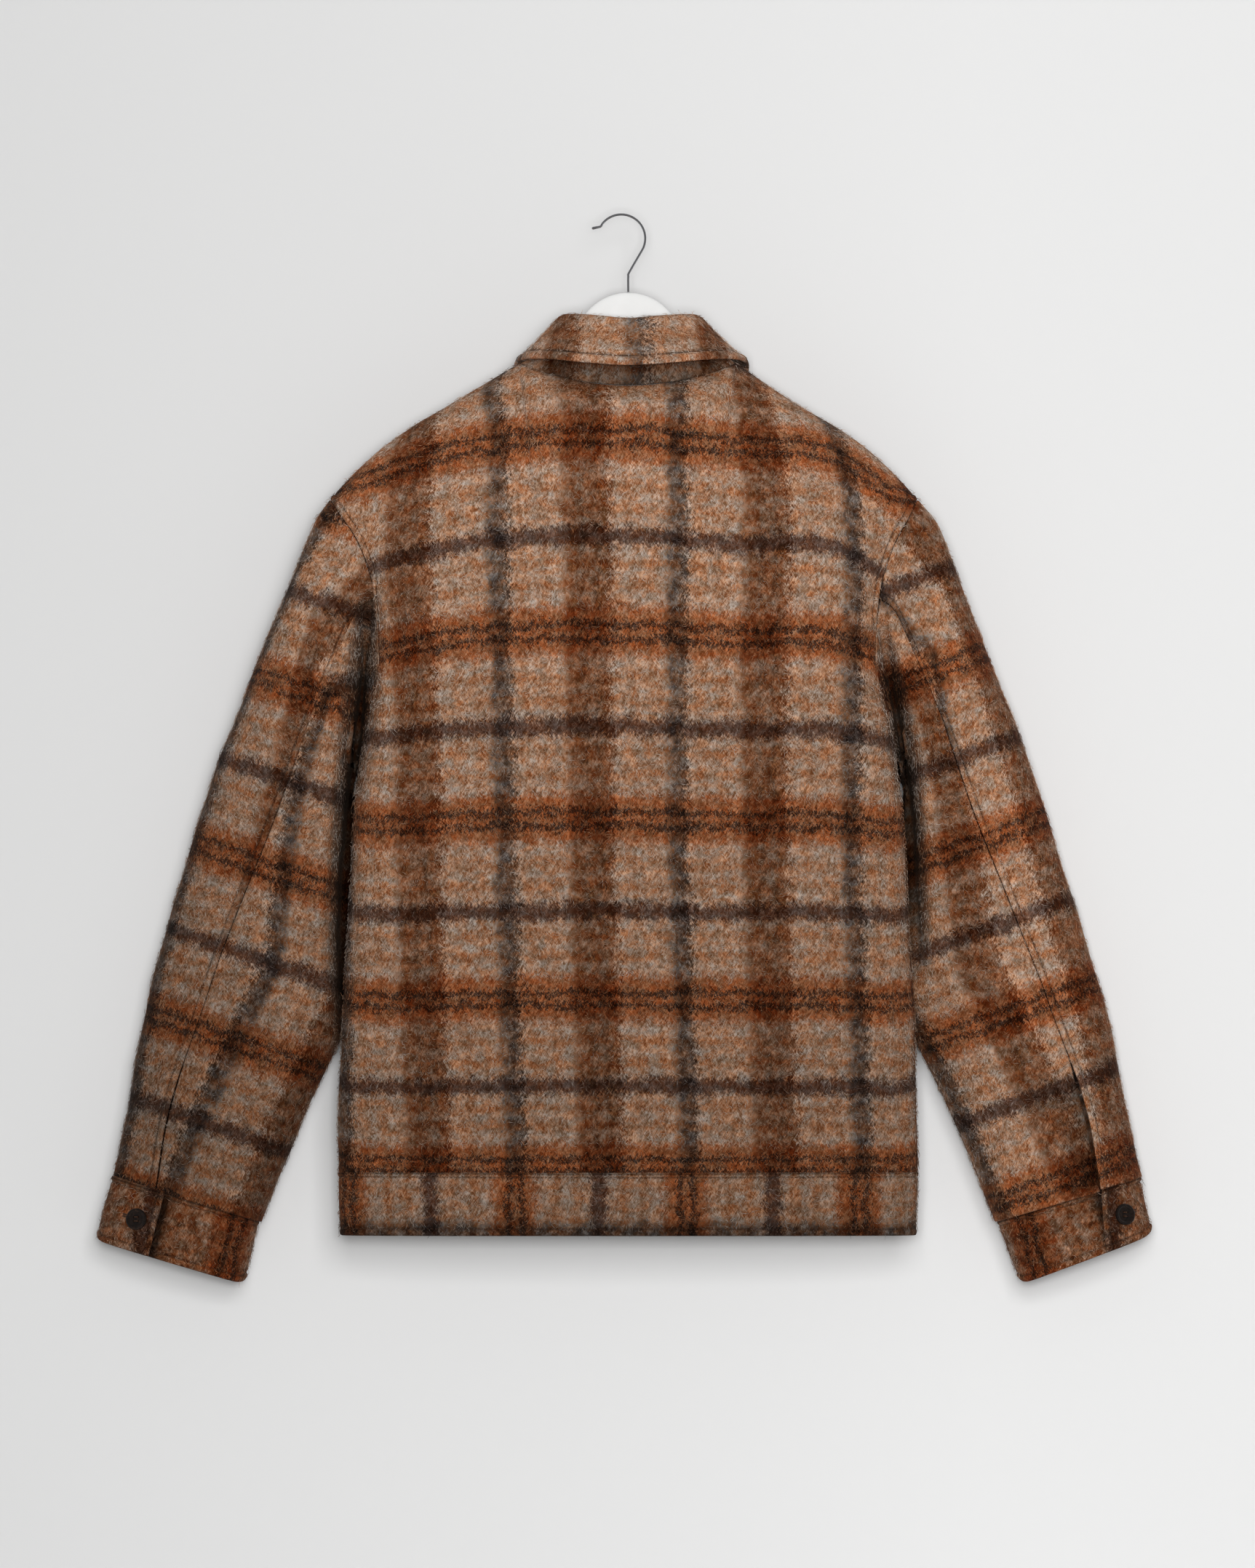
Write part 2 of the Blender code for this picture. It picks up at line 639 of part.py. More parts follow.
def fall_edge(turns):
    degrees = np.degrees(np.abs(turns))
    height = smooth(FALL_BACK, "height", degrees)
    back = np.stack((FALL_X * np.sin(turns), -FALL_Y * np.cos(turns), height), axis=-1)
    fraction = smooth(FALL_FRONT, "fraction", degrees) * np.sign(turns)
    rise = (1 - smooth(FALL_FRONT, "swing", degrees) ** ARCH) ** (1 / ARCH)
    front = panel_point_out(fraction, rise, smooth(FALL_FRONT, "clear", degrees))
    return np.where((np.abs(turns) <= pi / 2)[:, None], back, front)


def panel_point_out(fraction, rise, clear):
    # A point above the front panel, moved out along the panel's normal
    probe = 0.004
    here = upper_point(fraction, rise, False)
    low = np.minimum(rise + probe, 1) - 2 * probe
    along = upper_point(fraction, low + 2 * probe, False) - upper_point(fraction, low, False)
    across = upper_point(fraction + probe, rise, False) - upper_point(fraction - probe, rise, False)
    return here + unit(np.cross(along, across)) * clear[..., None]


def collar_stand():
    turns = collar_turns()
    neck, (top, _) = neck_ring(turns), stand_top(turns)
    stand = np.array([blend(neck, top, share) for share in np.linspace(0, 1, STAND_ROWS + 1)])
    return stand, grid_normals(stand, np.array((0, 0, BACK_NECK)))


def build_collar(add, stand, lean):
    add("collar_stand", cloth_mesh("collar_stand", trimmed(stand), lean, COLLAR_CLOTH), WOOL)

    turns = collar_turns()
    top, outward = stand_top(turns)
    up = np.array((0, 0, 1))
    roll = [top + outward * step["out"] + up * step["up"] for step in ROLL]
    edge = fall_edge(turns)
    on_front = soft_step(np.abs(turns), *np.radians(FALL_BULGE_TURNS))[:, None]
    bulge = (outward + up) * FALL_BULGE * on_front
    shares = np.linspace(0, 1, FALL_ROWS + 1)[1:]
    drop = [blend(roll[-1], edge, share) + bulge * 4 * share * (1 - share) for share in shares]
    fall = np.array(roll + drop)
    normals = unit(np.cross(np.gradient(fall, axis=1), np.gradient(fall, axis=0)))
    normals *= np.sign(np.sum(normals[-1] * outward))
    normals[0] = -outward
    add("collar_fall", cloth_mesh("collar_fall", trimmed(fall), normals, COLLAR_CLOTH), WOOL)


def button_mesh(name):
    disc = bmesh.new()
    bmesh.ops.create_cone(disc, cap_ends=True, segments=BUTTON_SIDES, radius1=BUTTON_RADIUS,
                          radius2=BUTTON_RADIUS, depth=BUTTON_THICK)
    top = [face for face in disc.faces if face.normal.z > 0.5]
    bmesh.ops.inset_region(disc, faces=top, thickness=BUTTON_RIM, depth=-BUTTON_DISH)
    data = bpy.data.meshes.new(name)
    disc.to_mesh(data)
    disc.free()
    data.shade_smooth()
    data.set_sharp_from_angle(angle=SHARP_EDGE)
    return data


def build_front_buttons(add_button):
    for number, height in enumerate(FRONT_BUTTON_HEIGHTS, 1):
        if height > CHEST:
            rise = (height - CHEST) / (FRONT_NECK - CHEST)
            seat = upper_point(np.array(0.0), rise, False)
        else:
            seat = body_ring(np.array(height), pi)
        add_button(f"front_button_{number}", seat + np.array((0, LIFT, 0)), np.array((0, 1, 0)))


def hanger_top(across):
    across = abs(across)
    if across <= DOME_REACH:
        return DOME_TOP - DOME_RADIUS + (DOME_RADIUS ** 2 - across ** 2) ** 0.5
    if across <= NECK_X:
        return float(smooth(HANGER_NECK, "height", across))
    under_seam = (CLOTH + HANGER_CLEAR) * (1 + shoulder_slope(across) ** 2) ** 0.5
    return float(smooth(SHOULDER, "height", across) - under_seam)


def build_hanger(add):
    # Rounded sections from one arm's tip over the dome to the other
    loft = bmesh.new()
    rings = []
    for angle in np.linspace(-pi / 2, pi / 2, HANGER_STEPS + 1)[1:-1]:
        share = angle / (pi / 2)
        across = ARM_END * share
        full = (1 - abs(share) ** TIP_ROUNDING) ** 0.5
        top = hanger_top(across)
        height = blend(DOME_HEIGHT, ARM_HEIGHT, float(soft_step(abs(across), 0, NECK_X)))
        middle = top - height / 2
        ring = []
        for k in range(HANGER_SIDES):
            turn = 2 * pi * k / HANGER_SIDES
            place = (across, full * HANGER_THICK / 2 * cos(turn), middle + full * height / 2 * sin(turn))
            ring.append(loft.verts.new(place))
        rings.append(ring)
    for ring, following in zip(rings, rings[1:]):
        for k in range(HANGER_SIDES):
            m = (k + 1) % HANGER_SIDES
            loft.faces.new((ring[k], ring[m], following[m], following[k]))
    loft.faces.new(rings[0])
    loft.faces.new(rings[-1])
    bmesh.ops.recalc_face_normals(loft, faces=loft.faces)
    data = bpy.data.meshes.new("hanger_body")
    loft.to_mesh(data)
    loft.free()
    data.shade_smooth()
    add("hanger_body", data, WHITE)


def hook_path():
    centre = Vector((-MIDDLE_X, 0, WIRE / 2 - HOOK_RADIUS))
    arc = []
    for step in range(HOOK_STEPS + 1):
        turn = blend(HOOK_FROM, HOOK_TO, step / HOOK_STEPS)
        arc.append(centre + HOOK_RADIUS * Vector((cos(turn), 0, sin(turn))))
    tip = arc[0] + Vector((HOOK_TIP[0], 0, HOOK_TIP[1]))
    bend = Vector((0, 0, SHANK_BEND))
    towards_arc = (arc[-1] - bend).normalized()
    foot = Vector((0, 0, DOME_TOP + SEAM))
    return [tip] + arc + [bend + towards_arc * BEND_LENGTH, bend - Vector((0, 0, BEND_LENGTH)), foot]


def build_hook(add):
    wire = bpy.data.curves.new("hanger_hook", "CURVE")
    wire.dimensions = "3D"
    wire.bevel_depth = WIRE / 2
    wire.bevel_resolution = 2
    wire.use_fill_caps = True
    path = hook_path()
    line = wire.splines.new("POLY")
    line.points.add(len(path) - 1)
    for point, place in zip(line.points, path):
        point.co = (*place, 1)
    add("hanger_hook", wire, CHROME)


def main():
    for old in list(bpy.data.objects):
        bpy.data.objects.remove(old)
    place = bpy.data.collections.new(COLLECTION)
    bpy.context.scene.collection.children.link(place)
    middle = bpy.data.objects.new("jacket_middle", None)
    middle.location = (MIDDLE_X, 0, 0)
    place.objects.link(middle)

    def add(name, data, finish):
        return add_object(name, data, finish, middle, place)

    def add_button(name, seat, normal):
        button = add(name, button_mesh(name), HORN)
        normal = Vector(normal)
        button.location = Vector(seat) + normal * (SEAM + BUTTON_THICK / 2)
        button.rotation_euler = normal.to_track_quat("Z", "Y").to_euler()

    stand, lean = collar_stand()
    loop, shared = build_body(add, lean)
    build_sleeves(add, loop, shared)
    build_cuffs(add, add_button)
    build_band(add)
    build_collar(add, stand, lean)
    build_front_buttons(add_button)
    build_hanger(add)
    build_hook(add)


main()
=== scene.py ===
# Looks of a short brushed-wool check jacket on a white hanger; the jacket's back faces the camera.
# Metres, +Z up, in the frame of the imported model. The jacket's left is -X.

import bpy
import numpy as np
from math import cos, pi, radians, sin, sqrt
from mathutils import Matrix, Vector


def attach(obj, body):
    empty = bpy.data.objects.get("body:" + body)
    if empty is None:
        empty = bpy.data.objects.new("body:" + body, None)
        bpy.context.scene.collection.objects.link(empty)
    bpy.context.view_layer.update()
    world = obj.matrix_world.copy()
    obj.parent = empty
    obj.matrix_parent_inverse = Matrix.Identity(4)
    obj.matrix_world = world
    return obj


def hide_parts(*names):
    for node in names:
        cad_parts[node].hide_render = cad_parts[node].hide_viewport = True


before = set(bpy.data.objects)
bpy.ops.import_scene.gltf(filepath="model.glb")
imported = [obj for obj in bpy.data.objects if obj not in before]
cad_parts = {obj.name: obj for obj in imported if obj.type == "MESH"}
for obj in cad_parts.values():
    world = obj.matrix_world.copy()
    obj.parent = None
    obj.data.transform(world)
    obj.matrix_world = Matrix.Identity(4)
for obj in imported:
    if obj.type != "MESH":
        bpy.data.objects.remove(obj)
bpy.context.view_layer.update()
print("frame loaded:", len(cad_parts), "nodes")


# Small helpers

def linear(hexColour):
    # sRGB hex to linear
    srgb = [int(hexColour[i:i + 2], 16) / 255 for i in (1, 3, 5)]
    return tuple(c / 12.92 if c <= 0.04045 else ((c + 0.055) / 1.055) ** 2.4 for c in srgb) + (1,)


def unit(vectors):
    return vectors / np.maximum(np.linalg.norm(vectors, axis=-1, keepdims=True), 1e-12)


def blend(start, end, share):
    return start + (end - start) * share


def softStep(value, low, high):
    t = np.clip((value - low) / (high - low), 0, 1)
    return t * t * (3 - 2 * t)


def columns(names, rows):
    # one array for each named column, in the order of the first one
    return {"along": names[0], **dict(zip(names, np.array(sorted(rows)).T))}


def onCurve(curve, name, at):
    # smooth curve through a table's rows
    along, value = curve[curve["along"]], curve[name]
    slope = np.gradient(value, along)
    at = np.clip(np.asarray(at, dtype=float), along[0], along[-1])
    i = np.clip(np.searchsorted(along, at) - 1, 0, len(along) - 2)
    step = along[i + 1] - along[i]
    t = (at - along[i]) / step
    start = (1 + 2 * t) * (1 - t) ** 2 * value[i] + t * (1 - t) ** 2 * step * slope[i]
    end = t * t * (3 - 2 * t) * value[i + 1] + t * t * (t - 1) * step * slope[i + 1]
    return start + end


def throughRows(rows, at):
    # smooth surface through a few rows of points, read at fractional row numbers
    rows = np.asarray(rows)
    padded = np.concatenate((2 * rows[:1] - rows[1:2], rows, 2 * rows[-1:] - rows[-2:-1]))
    i = np.clip(np.floor(at).astype(int), 0, len(rows) - 2)
    t = (np.asarray(at) - i)[:, None, None]
    a, b, c, d = (padded[i + k] for k in range(4))
    return b + t / 2 * (c - a + t * (2 * a - 5 * b + 4 * c - d + t * (3 * (b - c) + d - a)))


def mirrored(points, side):
    return points * np.array((side, 1, 1))


def lengthAlong(path):
    # distance of each point from the path's first one
    steps = np.linalg.norm(np.diff(path, axis=0), axis=-1)
    return np.concatenate(((0,), np.cumsum(steps)))


def placed(name, data):
    made = bpy.data.objects.new(name, data)
    bpy.context.scene.collection.objects.link(made)
    return made


def meshPiece(name, points, faces, material, node=None):
    data = bpy.data.meshes.new(name)
    data.from_pydata(np.asarray(points).tolist(), [], faces)
    data.shade_smooth()
    data.materials.append(material)
    piece = placed(name, data)
    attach(piece, "root")
    if node:
        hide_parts(node)
    return piece


# Camera: level and far away, framed as the photograph, 0.608 mm to a pixel

shot = {"pixels": (1725, 2156), "pixelSize": 0.000608, "middlePixel": 863.5, "railPixel": 297,
        "distance": 20.0, "sensor": 36.0}
jacketMiddle = 0.0058  # the hook stands this far to one side of the jacket
toFrame = np.array((jacketMiddle, 0, 0))


def makeCamera():
    data = bpy.data.cameras.new("front_camera")
    data.sensor_width = shot["sensor"]
    tall = shot["pixels"][1] * shot["pixelSize"]
    data.lens = shot["sensor"] * shot["distance"] / tall  # the sensor's width is the long side's
    data.clip_end = 60
    camera = placed("front_camera", data)
    x = jacketMiddle + (shot["pixels"][0] / 2 - shot["middlePixel"]) * shot["pixelSize"]
    z = (shot["railPixel"] - shot["pixels"][1] / 2) * shot["pixelSize"]
    camera.location = (x, -shot["distance"], z)
    camera.rotation_euler = (pi / 2, 0, 0)
    bpy.context.scene.camera = camera


makeCamera()
print("camera placed")


# Cut of the jacket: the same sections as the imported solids, read more finely

cut = {"cloth": 0.0025, "collarCloth": 0.0030, "bandCloth": 0.0034, "seam": 0.0003,
       "chest": -0.370, "underarm": -0.455, "bandSeam": -0.800, "hem": -0.852,
       "shoulderX": 0.246, "neckX": 0.090, "neckY": 0.060, "backNeck": -0.142, "neckPoint": -0.123,
       "frontNeck": -0.205, "neckSweep": 1.8, "arch": 2.2, "sideTurn": radians(114), "fan": 4,
       "backSquare": 3.2, "frontSquare": 2.4, "overlap": 0.018, "liftFrom": 0.075, "liftTo": 0.030,
       "archRows": 7, "archCrowding": 1.4, "armholeRows": 4, "skirtRows": 7}
cut["lift"] = cut["bandCloth"] + cut["seam"]
underarmRow = cut["archRows"] + cut["armholeRows"]
lastRow = underarmRow + cut["skirtRows"]

bodySections = columns(("height", "halfWidth", "back", "front", "widestY"), (
    (-0.370, 0.2148, 0.0620, 0.0580, -0.0120),
    (-0.400, 0.2172, 0.0625, 0.0585, -0.0120),
    (-0.437, 0.2215, 0.0625, 0.0590, -0.0120),
    (-0.467, 0.2265, 0.0620, 0.0590, -0.0120),
    (-0.550, 0.2318, 0.0605, 0.0580, -0.0115),
    (-0.630, 0.2362, 0.0590, 0.0570, -0.0110),
    (-0.707, 0.2405, 0.0575, 0.0560, -0.0105),
    (-0.762, 0.2418, 0.0560, 0.0550, -0.0100),
    (-0.800, 0.2418, 0.0550, 0.0540, -0.0100),
    (-0.852, 0.2405, 0.0540, 0.0530, -0.0100)))
armholeEdge = columns(("rise", "backX", "frontX"), (
    (0.00, 0.2075, 0.1900), (0.20, 0.2090, 0.1920), (0.53, 0.2160, 0.2040),
    (0.75, 0.2275, 0.2220), (0.90, 0.2395, 0.2380), (1.00, 0.2460, 0.2460)))
shoulderSeam = columns(("across", "height"), (
    (0.0900, -0.1230), (0.1277, -0.1477), (0.1482, -0.1600), (0.1800, -0.1780),
    (0.2055, -0.1964), (0.2252, -0.2146), (0.2460, -0.2370)))


def bodyRing(height, turn):
    # turn 0 is the centre back, 90 degrees the right side
    across, along = np.sin(turn), np.cos(turn)
    atBack = along > 0
    square = np.where(atBack, cut["backSquare"], cut["frontSquare"])
    reach = (np.abs(across) ** square + np.abs(along) ** square) ** (1 / square)
    widest = onCurve(bodySections, "widestY", height)
    behind = onCurve(bodySections, "back", height) + widest
    before = onCurve(bodySections, "front", height) - widest
    x = onCurve(bodySections, "halfWidth", height) * across / reach
    y = widest - np.where(atBack, behind, before) * along / reach
    return np.stack(np.broadcast_arrays(x, y, height), axis=-1)


def chestTurn(fraction, edgeX, square):
    share = np.abs(fraction) * edgeX / onCurve(bodySections, "halfWidth", cut["chest"])
    return np.sign(fraction) * np.arctan2(share, (1 - share ** square) ** (1 / square))


def topEdge(fraction, isBack):
    # neck edge, then the shoulder seam
    reach = np.abs(fraction) * cut["shoulderX"]
    onNeck = np.sqrt(1 - np.clip(reach / cut["neckX"], 0, 1) ** 2)
    low = cut["backNeck"] if isBack else cut["frontNeck"]
    neckZ = cut["neckPoint"] + (low - cut["neckPoint"]) * onNeck ** cut["neckSweep"]
    z = np.where(reach < cut["neckX"], neckZ, onCurve(shoulderSeam, "height", reach))
    y = cut["neckY"] * onNeck * (-1 if isBack else 1)
    return np.stack((fraction * cut["shoulderX"], y, z), axis=-1)


def panelShape(isBack):
    return ("backX", cut["backSquare"]) if isBack else ("frontX", cut["frontSquare"])


def upperPoint(fraction, rise, isBack):
    # the yoke arches from the chest up to the neck and the shoulder seam
    name, square = panelShape(isBack)
    turn = chestTurn(fraction, onCurve(armholeEdge, name, 0), square)
    chest = bodyRing(cut["chest"], turn if isBack else pi - turn)
    top = topEdge(fraction, isBack)
    x = fraction * onCurve(armholeEdge, name, rise)
    y = blend(top[..., 1], chest[..., 1], (1 - rise ** cut["arch"]) ** (1 / cut["arch"]))
    z = blend(cut["chest"], top[..., 2], rise)
    return np.stack(np.broadcast_arrays(x, y, z), axis=-1)


def ringTurns(across, isBack, sink=1.0):
    # the panel fans out from the chest to the side seam as it sinks to the underarm
    name, square = panelShape(isBack)
    edgeX = onCurve(armholeEdge, name, 0)
    turn, last = chestTurn(across, edgeX, square), chestTurn(1.0, edgeX, square)
    side = cut["sideTurn"] if isBack else pi - cut["sideTurn"]
    reach = blend(last, side, 1 - sqrt(1 - sink ** 2))
    fanned = turn + (reach - last) * np.sign(turn) * np.abs(turn / last) ** cut["fan"]
    return fanned if isBack else pi - fanned


def bodyRow(across, row, isBack):
    # row 0 is the top edge, then come the chest, the underarm and the band seam
    if row <= cut["archRows"]:
        return upperPoint(across, 1 - (row / cut["archRows"]) ** cut["archCrowding"], isBack)
    sink = sin(min((row - cut["archRows"]) / cut["armholeRows"], 1) * pi / 2)
    height = blend(cut["chest"], cut["underarm"], sink)
    if row > underarmRow:
        height = blend(cut["underarm"], cut["bandSeam"], (row - underarmRow) / cut["skirtRows"])
    return bodyRing(np.full(len(across), height), ringTurns(across, isBack, sink))


# Sleeve rings from the shoulder to the cuff: outer and inner point, half the depth, place of the back seam

sleeveCut = {"square": 2.3, "backSeam": 5, "frontSeam": 15,
             "shoulderStep": (0.0160, 0.0010, -0.0200), "underarmStep": (0.0130, 0.0040, -0.0040)}
sleeveRings = columns(
    ("ring", "outerX", "outerY", "outerZ", "innerX", "innerY", "innerZ", "depth", "seam"), (
        (2, 0.2740, 0.003, -0.286, 0.2285, 0.025, -0.4690, 0.0450, 95),
        (3, 0.2862, 0.006, -0.319, 0.2300, 0.030, -0.4790, 0.0490, 93),
        (4, 0.2990, 0.010, -0.352, 0.2290, 0.034, -0.4910, 0.0510, 90),
        (5, 0.3138, 0.016, -0.391, 0.2265, 0.038, -0.5070, 0.0510, 87),
        (6, 0.3305, 0.024, -0.436, 0.2230, 0.043, -0.5300, 0.0495, 83),
        (7, 0.3496, 0.033, -0.488, 0.2195, 0.047, -0.5630, 0.0470, 78),
        (8, 0.3680, 0.040, -0.547, 0.2180, 0.049, -0.6060, 0.0440, 71),
        (9, 0.3827, 0.043, -0.598, 0.2225, 0.049, -0.6520, 0.0420, 66),
        (10, 0.3975, 0.044, -0.652, 0.2455, 0.047, -0.7000, 0.0410, 65),
        (11, 0.4100, 0.042, -0.707, 0.2670, 0.044, -0.7440, 0.0400, 62),
        (12, 0.4185, 0.040, -0.753, 0.2860, 0.041, -0.7880, 0.0390, 61),
        (13, 0.4295, 0.037, -0.804, 0.3070, 0.037, -0.8420, 0.0375, 66)))


def tubeRing(outer, inner, depth, turns):
    # turn 0 is the outer edge of the flattened tube, 90 degrees the side towards the camera
    outer, inner = np.array(outer), np.array(inner)
    across, along = np.cos(turns), np.sin(turns)
    square = sleeveCut["square"]
    reach = (np.abs(across) ** square + np.abs(along) ** square) ** (1 / square)
    flat = np.outer(across / reach, (outer - inner) / 2)
    return (outer + inner) / 2 + flat + np.outer(along / reach * depth, (0, -1, 0))


def sleeveForm(column):
    # column 0 is the shoulder point, 11 the underarm; the columns go down the back and up the front
    edge = np.ones(1)
    back = [bodyRow(edge, c, True)[0] for c in column if c <= underarmRow]
    front = [bodyRow(edge, 2 * underarmRow - c, False)[0] for c in column if c > underarmRow]
    loop = np.array(back + front)
    share = ((1 - np.cos(column / underarmRow * pi)) / 2)[:, None]
    head = loop + blend(np.array(sleeveCut["shoulderStep"]), np.array(sleeveCut["underarmStep"]), share)
    rows = [loop, head]
    for i, ring in enumerate(sleeveRings["ring"]):
        seam = radians(sleeveRings["seam"][i])
        marks = (0, sleeveCut["backSeam"], underarmRow, 2 * underarmRow)
        turns = np.interp(column, marks, (0, seam, pi, 2 * pi))
        outer, inner = ([sleeveRings[edge + axis][i] for axis in "XYZ"] for edge in ("outer", "inner"))
        rows.append(tubeRing(outer, inner, sleeveRings["depth"][i], turns))
    return np.array(rows)


# Gap between each sleeve and the body: its line on the camera side, half width and how far the cloth turns
# in, which also sets the painted shade there

sleeveGap = {
    "left": columns(("z", "x", "width", "share"), (
        (-0.720, 0.2390, 0.0060, 0.0), (-0.690, 0.2385, 0.0060, 0.30), (-0.640, 0.2390, 0.0070, 0.75),
        (-0.580, 0.2385, 0.0075, 0.90), (-0.530, 0.2362, 0.0075, 0.92), (-0.496, 0.2341, 0.0070, 0.92),
        (-0.4615, 0.2300, 0.0070, 0.92), (-0.404, 0.2225, 0.0080, 0.88), (-0.3466, 0.2175, 0.0075, 0.55),
        (-0.310, 0.2145, 0.0070, 0.0))),
    "right": columns(("z", "x", "width", "share"), (
        (-0.640, 0.2420, 0.0060, 0.0), (-0.590, 0.2410, 0.0060, 0.55), (-0.524, 0.2380, 0.0065, 0.85),
        (-0.478, 0.2340, 0.0065, 0.88), (-0.431, 0.2275, 0.0070, 0.85), (-0.392, 0.2208, 0.0065, 0.65),
        (-0.370, 0.2170, 0.0060, 0.35), (-0.335, 0.2120, 0.0060, 0.0)))}
# shade and shadeEdge set the painted shade in the gap
gapTurn = {"floor": 0.062, "deepest": 0.95, "fromX": (0.10, 0.16), "freeBelow": (0.462, 0.500),
           "bodyFree": 0.88, "shade": 1.12, "shadeEdge": (-0.003, 0.004)}


def turnedIn(grid, isBody):
    # seams stay joined, because every panel turns in alike; below the underarm the body hardly does
    x, y, z = np.moveaxis(grid, -1, 0)
    free = softStep(-z, *gapTurn["freeBelow"])
    share, shade = np.zeros(x.shape), np.zeros(x.shape)
    for name, side in (("left", -1), ("right", 1)):
        gap = sleeveGap[name]
        offset = x * side - onCurve(gap, "x", z)
        away = offset / onCurve(gap, "width", z)
        if not isBody:
            away = np.where(away < 0, away * (1 - free), away)
        strength = np.clip(onCurve(gap, "share", z), 0, gapTurn["deepest"])
        strength = strength * softStep(x * side, *gapTurn["fromX"])
        near = np.exp(-away ** 2)
        share += strength * near * (1 - gapTurn["bodyFree"] * free if isBody else 1)
        # painted shade in the gap, darkest where the cloth turns in most; on the body it starts at its edge
        # below the underarm
        dark = blend(near, softStep(offset, *gapTurn["shadeEdge"]), free) if isBody else near
        shade += np.clip(strength * gapTurn["shade"], 0, 1) * dark
    return np.stack((x, y + np.maximum(gapTurn["floor"] - y, 0) * share, z), axis=-1), shade


# Shoulders and sleeves: outer edges drawn in or out, unlike on the two sides, as they hang in the photograph

sleeveSpan = columns(("z", "inner", "outer"), (
    (-0.900, 0.330, 0.450), (-0.840, 0.300, 0.441), (-0.700, 0.252, 0.405), (-0.600, 0.246, 0.372),
    (-0.460, 0.226, 0.325), (-0.300, 0.160, 0.270), (-0.240, 0.130, 0.250), (-0.150, 0.080, 0.140),
    (-0.100, 0.080, 0.120)))
outerEdge = {
    "left": columns(("z", "x"), (
        (-0.900, -0.0024), (-0.860, -0.0024), (-0.800, -0.0018), (-0.700, -0.0022), (-0.620, -0.0046),
        (-0.350, -0.0038), (-0.300, 0.0), (-0.262, 0.0), (-0.236, -0.0034), (-0.180, -0.0030),
        (-0.152, -0.0060), (-0.130, -0.0058), (-0.105, 0.0))),
    "right": columns(("z", "x"), (
        (-0.900, 0.0042), (-0.860, 0.0040), (-0.825, 0.0016), (-0.785, 0.0), (-0.640, -0.0004),
        (-0.600, -0.0026), (-0.490, -0.0042), (-0.420, -0.0024), (-0.360, -0.0042), (-0.172, -0.0040),
        (-0.120, 0.0)))}


def drawnOut(grid):
    x, y, z = np.moveaxis(grid, -1, 0)
    inner, outer = (np.interp(z, sleeveSpan["z"], sleeveSpan[name]) for name in ("inner", "outer"))
    share = np.clip((np.abs(x) - inner) / (outer - inner), 0, 1)
    shift = [np.interp(z, edge["z"], edge["x"]) for edge in outerEdge.values()]
    return np.stack((x + np.where(x < 0, *shift) * share, y, z), axis=-1)


# Neck seam: sunk between the collar's stand and the back, with painted shade on the stand and on the back
# just below the seam

neckDip = {"depth": 0.0090, "below": 0.011, "above": 0.026, "insideX": (-0.004, 0.030), "behindY": (0, 0.02),
           "shadeReach": 0.0040, "standShade": 0.80, "backShade": 0.65}


def dipped(grid):
    x, y, z = np.moveaxis(grid, -1, 0)
    onNeck = np.sqrt(np.clip(1 - (x / cut["neckX"]) ** 2, 0, 1))
    up = z - (cut["neckPoint"] + (cut["backNeck"] - cut["neckPoint"]) * onNeck ** cut["neckSweep"])
    near = np.exp(-(up / np.where(up > 0, neckDip["above"], neckDip["below"])) ** 2)
    inside = softStep(cut["neckX"] - np.abs(x), *neckDip["insideX"]) * softStep(-y, *neckDip["behindY"])
    # painted shade: over the stand under the collar's fall, and in a narrow band on the back below the seam
    seamShade = np.exp(-(up / neckDip["shadeReach"]) ** 2) * inside
    standShade = np.maximum(seamShade, neckDip["standShade"] * inside)
    shade = np.where(up > 0, standShade, neckDip["backShade"] * seamShade)
    return np.stack((x, y + neckDip["depth"] * near * inside, z), axis=-1), shade


# Cuffs: three rings each, closed by an overlap whose end and button lie at a turn from the outer edge

cuffCut = {"lap": radians(52), "rise": radians(50),
           "rings": (((0.4272, 0.037, -0.8051), (0.3092, 0.037, -0.8417), 0.0355),
                     ((0.4344, 0.036, -0.8290), (0.3178, 0.036, -0.8675), 0.0358),
                     ((0.4405, 0.035, -0.8527), (0.3257, 0.035, -0.8920), 0.0350)),
           "left": {"side": -1, "end": radians(74), "button": radians(57.7), "darkX": 0.4020, "paintedShadeOffset": -0.42,
                    "slant": (0, 0, 0),
                    "outer": ((0, 0), (0, -0.0024), (0, -0.0050)),
                    "inner": ((0, 0), (-0.0024, -0.0008), (-0.0040, -0.0018))},
           "right": {"side": 1, "end": radians(66.7), "button": radians(46.0), "darkX": 0.4040, "paintedShadeOffset": -0.11,
                     "slant": (-0.038, 0.050, 0.140),
                     "outer": ((-0.0028, -0.0009), (-0.0058, -0.0010), (-0.0066, 0)),
                     "inner": ((0, 0), (0.0015, -0.0008), (0.0030, -0.0018))},
           "corner": 0.0045, "cornerReach": radians(17), "cornerWay": (-0.28, 0, 0.96)}


def cuffForm(turns, cuff):
    # the buttoned end lies on the under end; the folded edges are rounded at the foot
    start = 2 * pi + cuff["end"] - cuffCut["lap"]
    lift = cut["lift"] * softStep(turns, start - cuffCut["rise"], start)
    fromFold = np.minimum(np.abs(np.sin(turns)), 1) / cuffCut["cornerReach"]
    corner = cuffCut["corner"] * np.exp(-fromFold ** 2)
    rows = []
    slanted = softStep(turns, pi, 2 * pi + cuff["end"])
    for number, (outer, inner, depth) in enumerate(cuffCut["rings"]):
        (outX, outZ), (inX, inZ) = cuff["outer"][number], cuff["inner"][number]
        outer, inner = np.array(outer) + np.array((outX, 0, outZ)), np.array(inner) + np.array((inX, 0, inZ))
        ring = tubeRing(outer, inner, depth, turns + cuff["slant"][number] * slanted)
        ring = ring + unit(ring - (outer + inner) / 2) * lift[:, None]
        rows.append(ring + np.outer(corner * (number == 2), cuffCut["cornerWay"]))
    return np.array(rows)


# Collar: crest of the roll, edge of the fall round the back, and its edge over the fronts

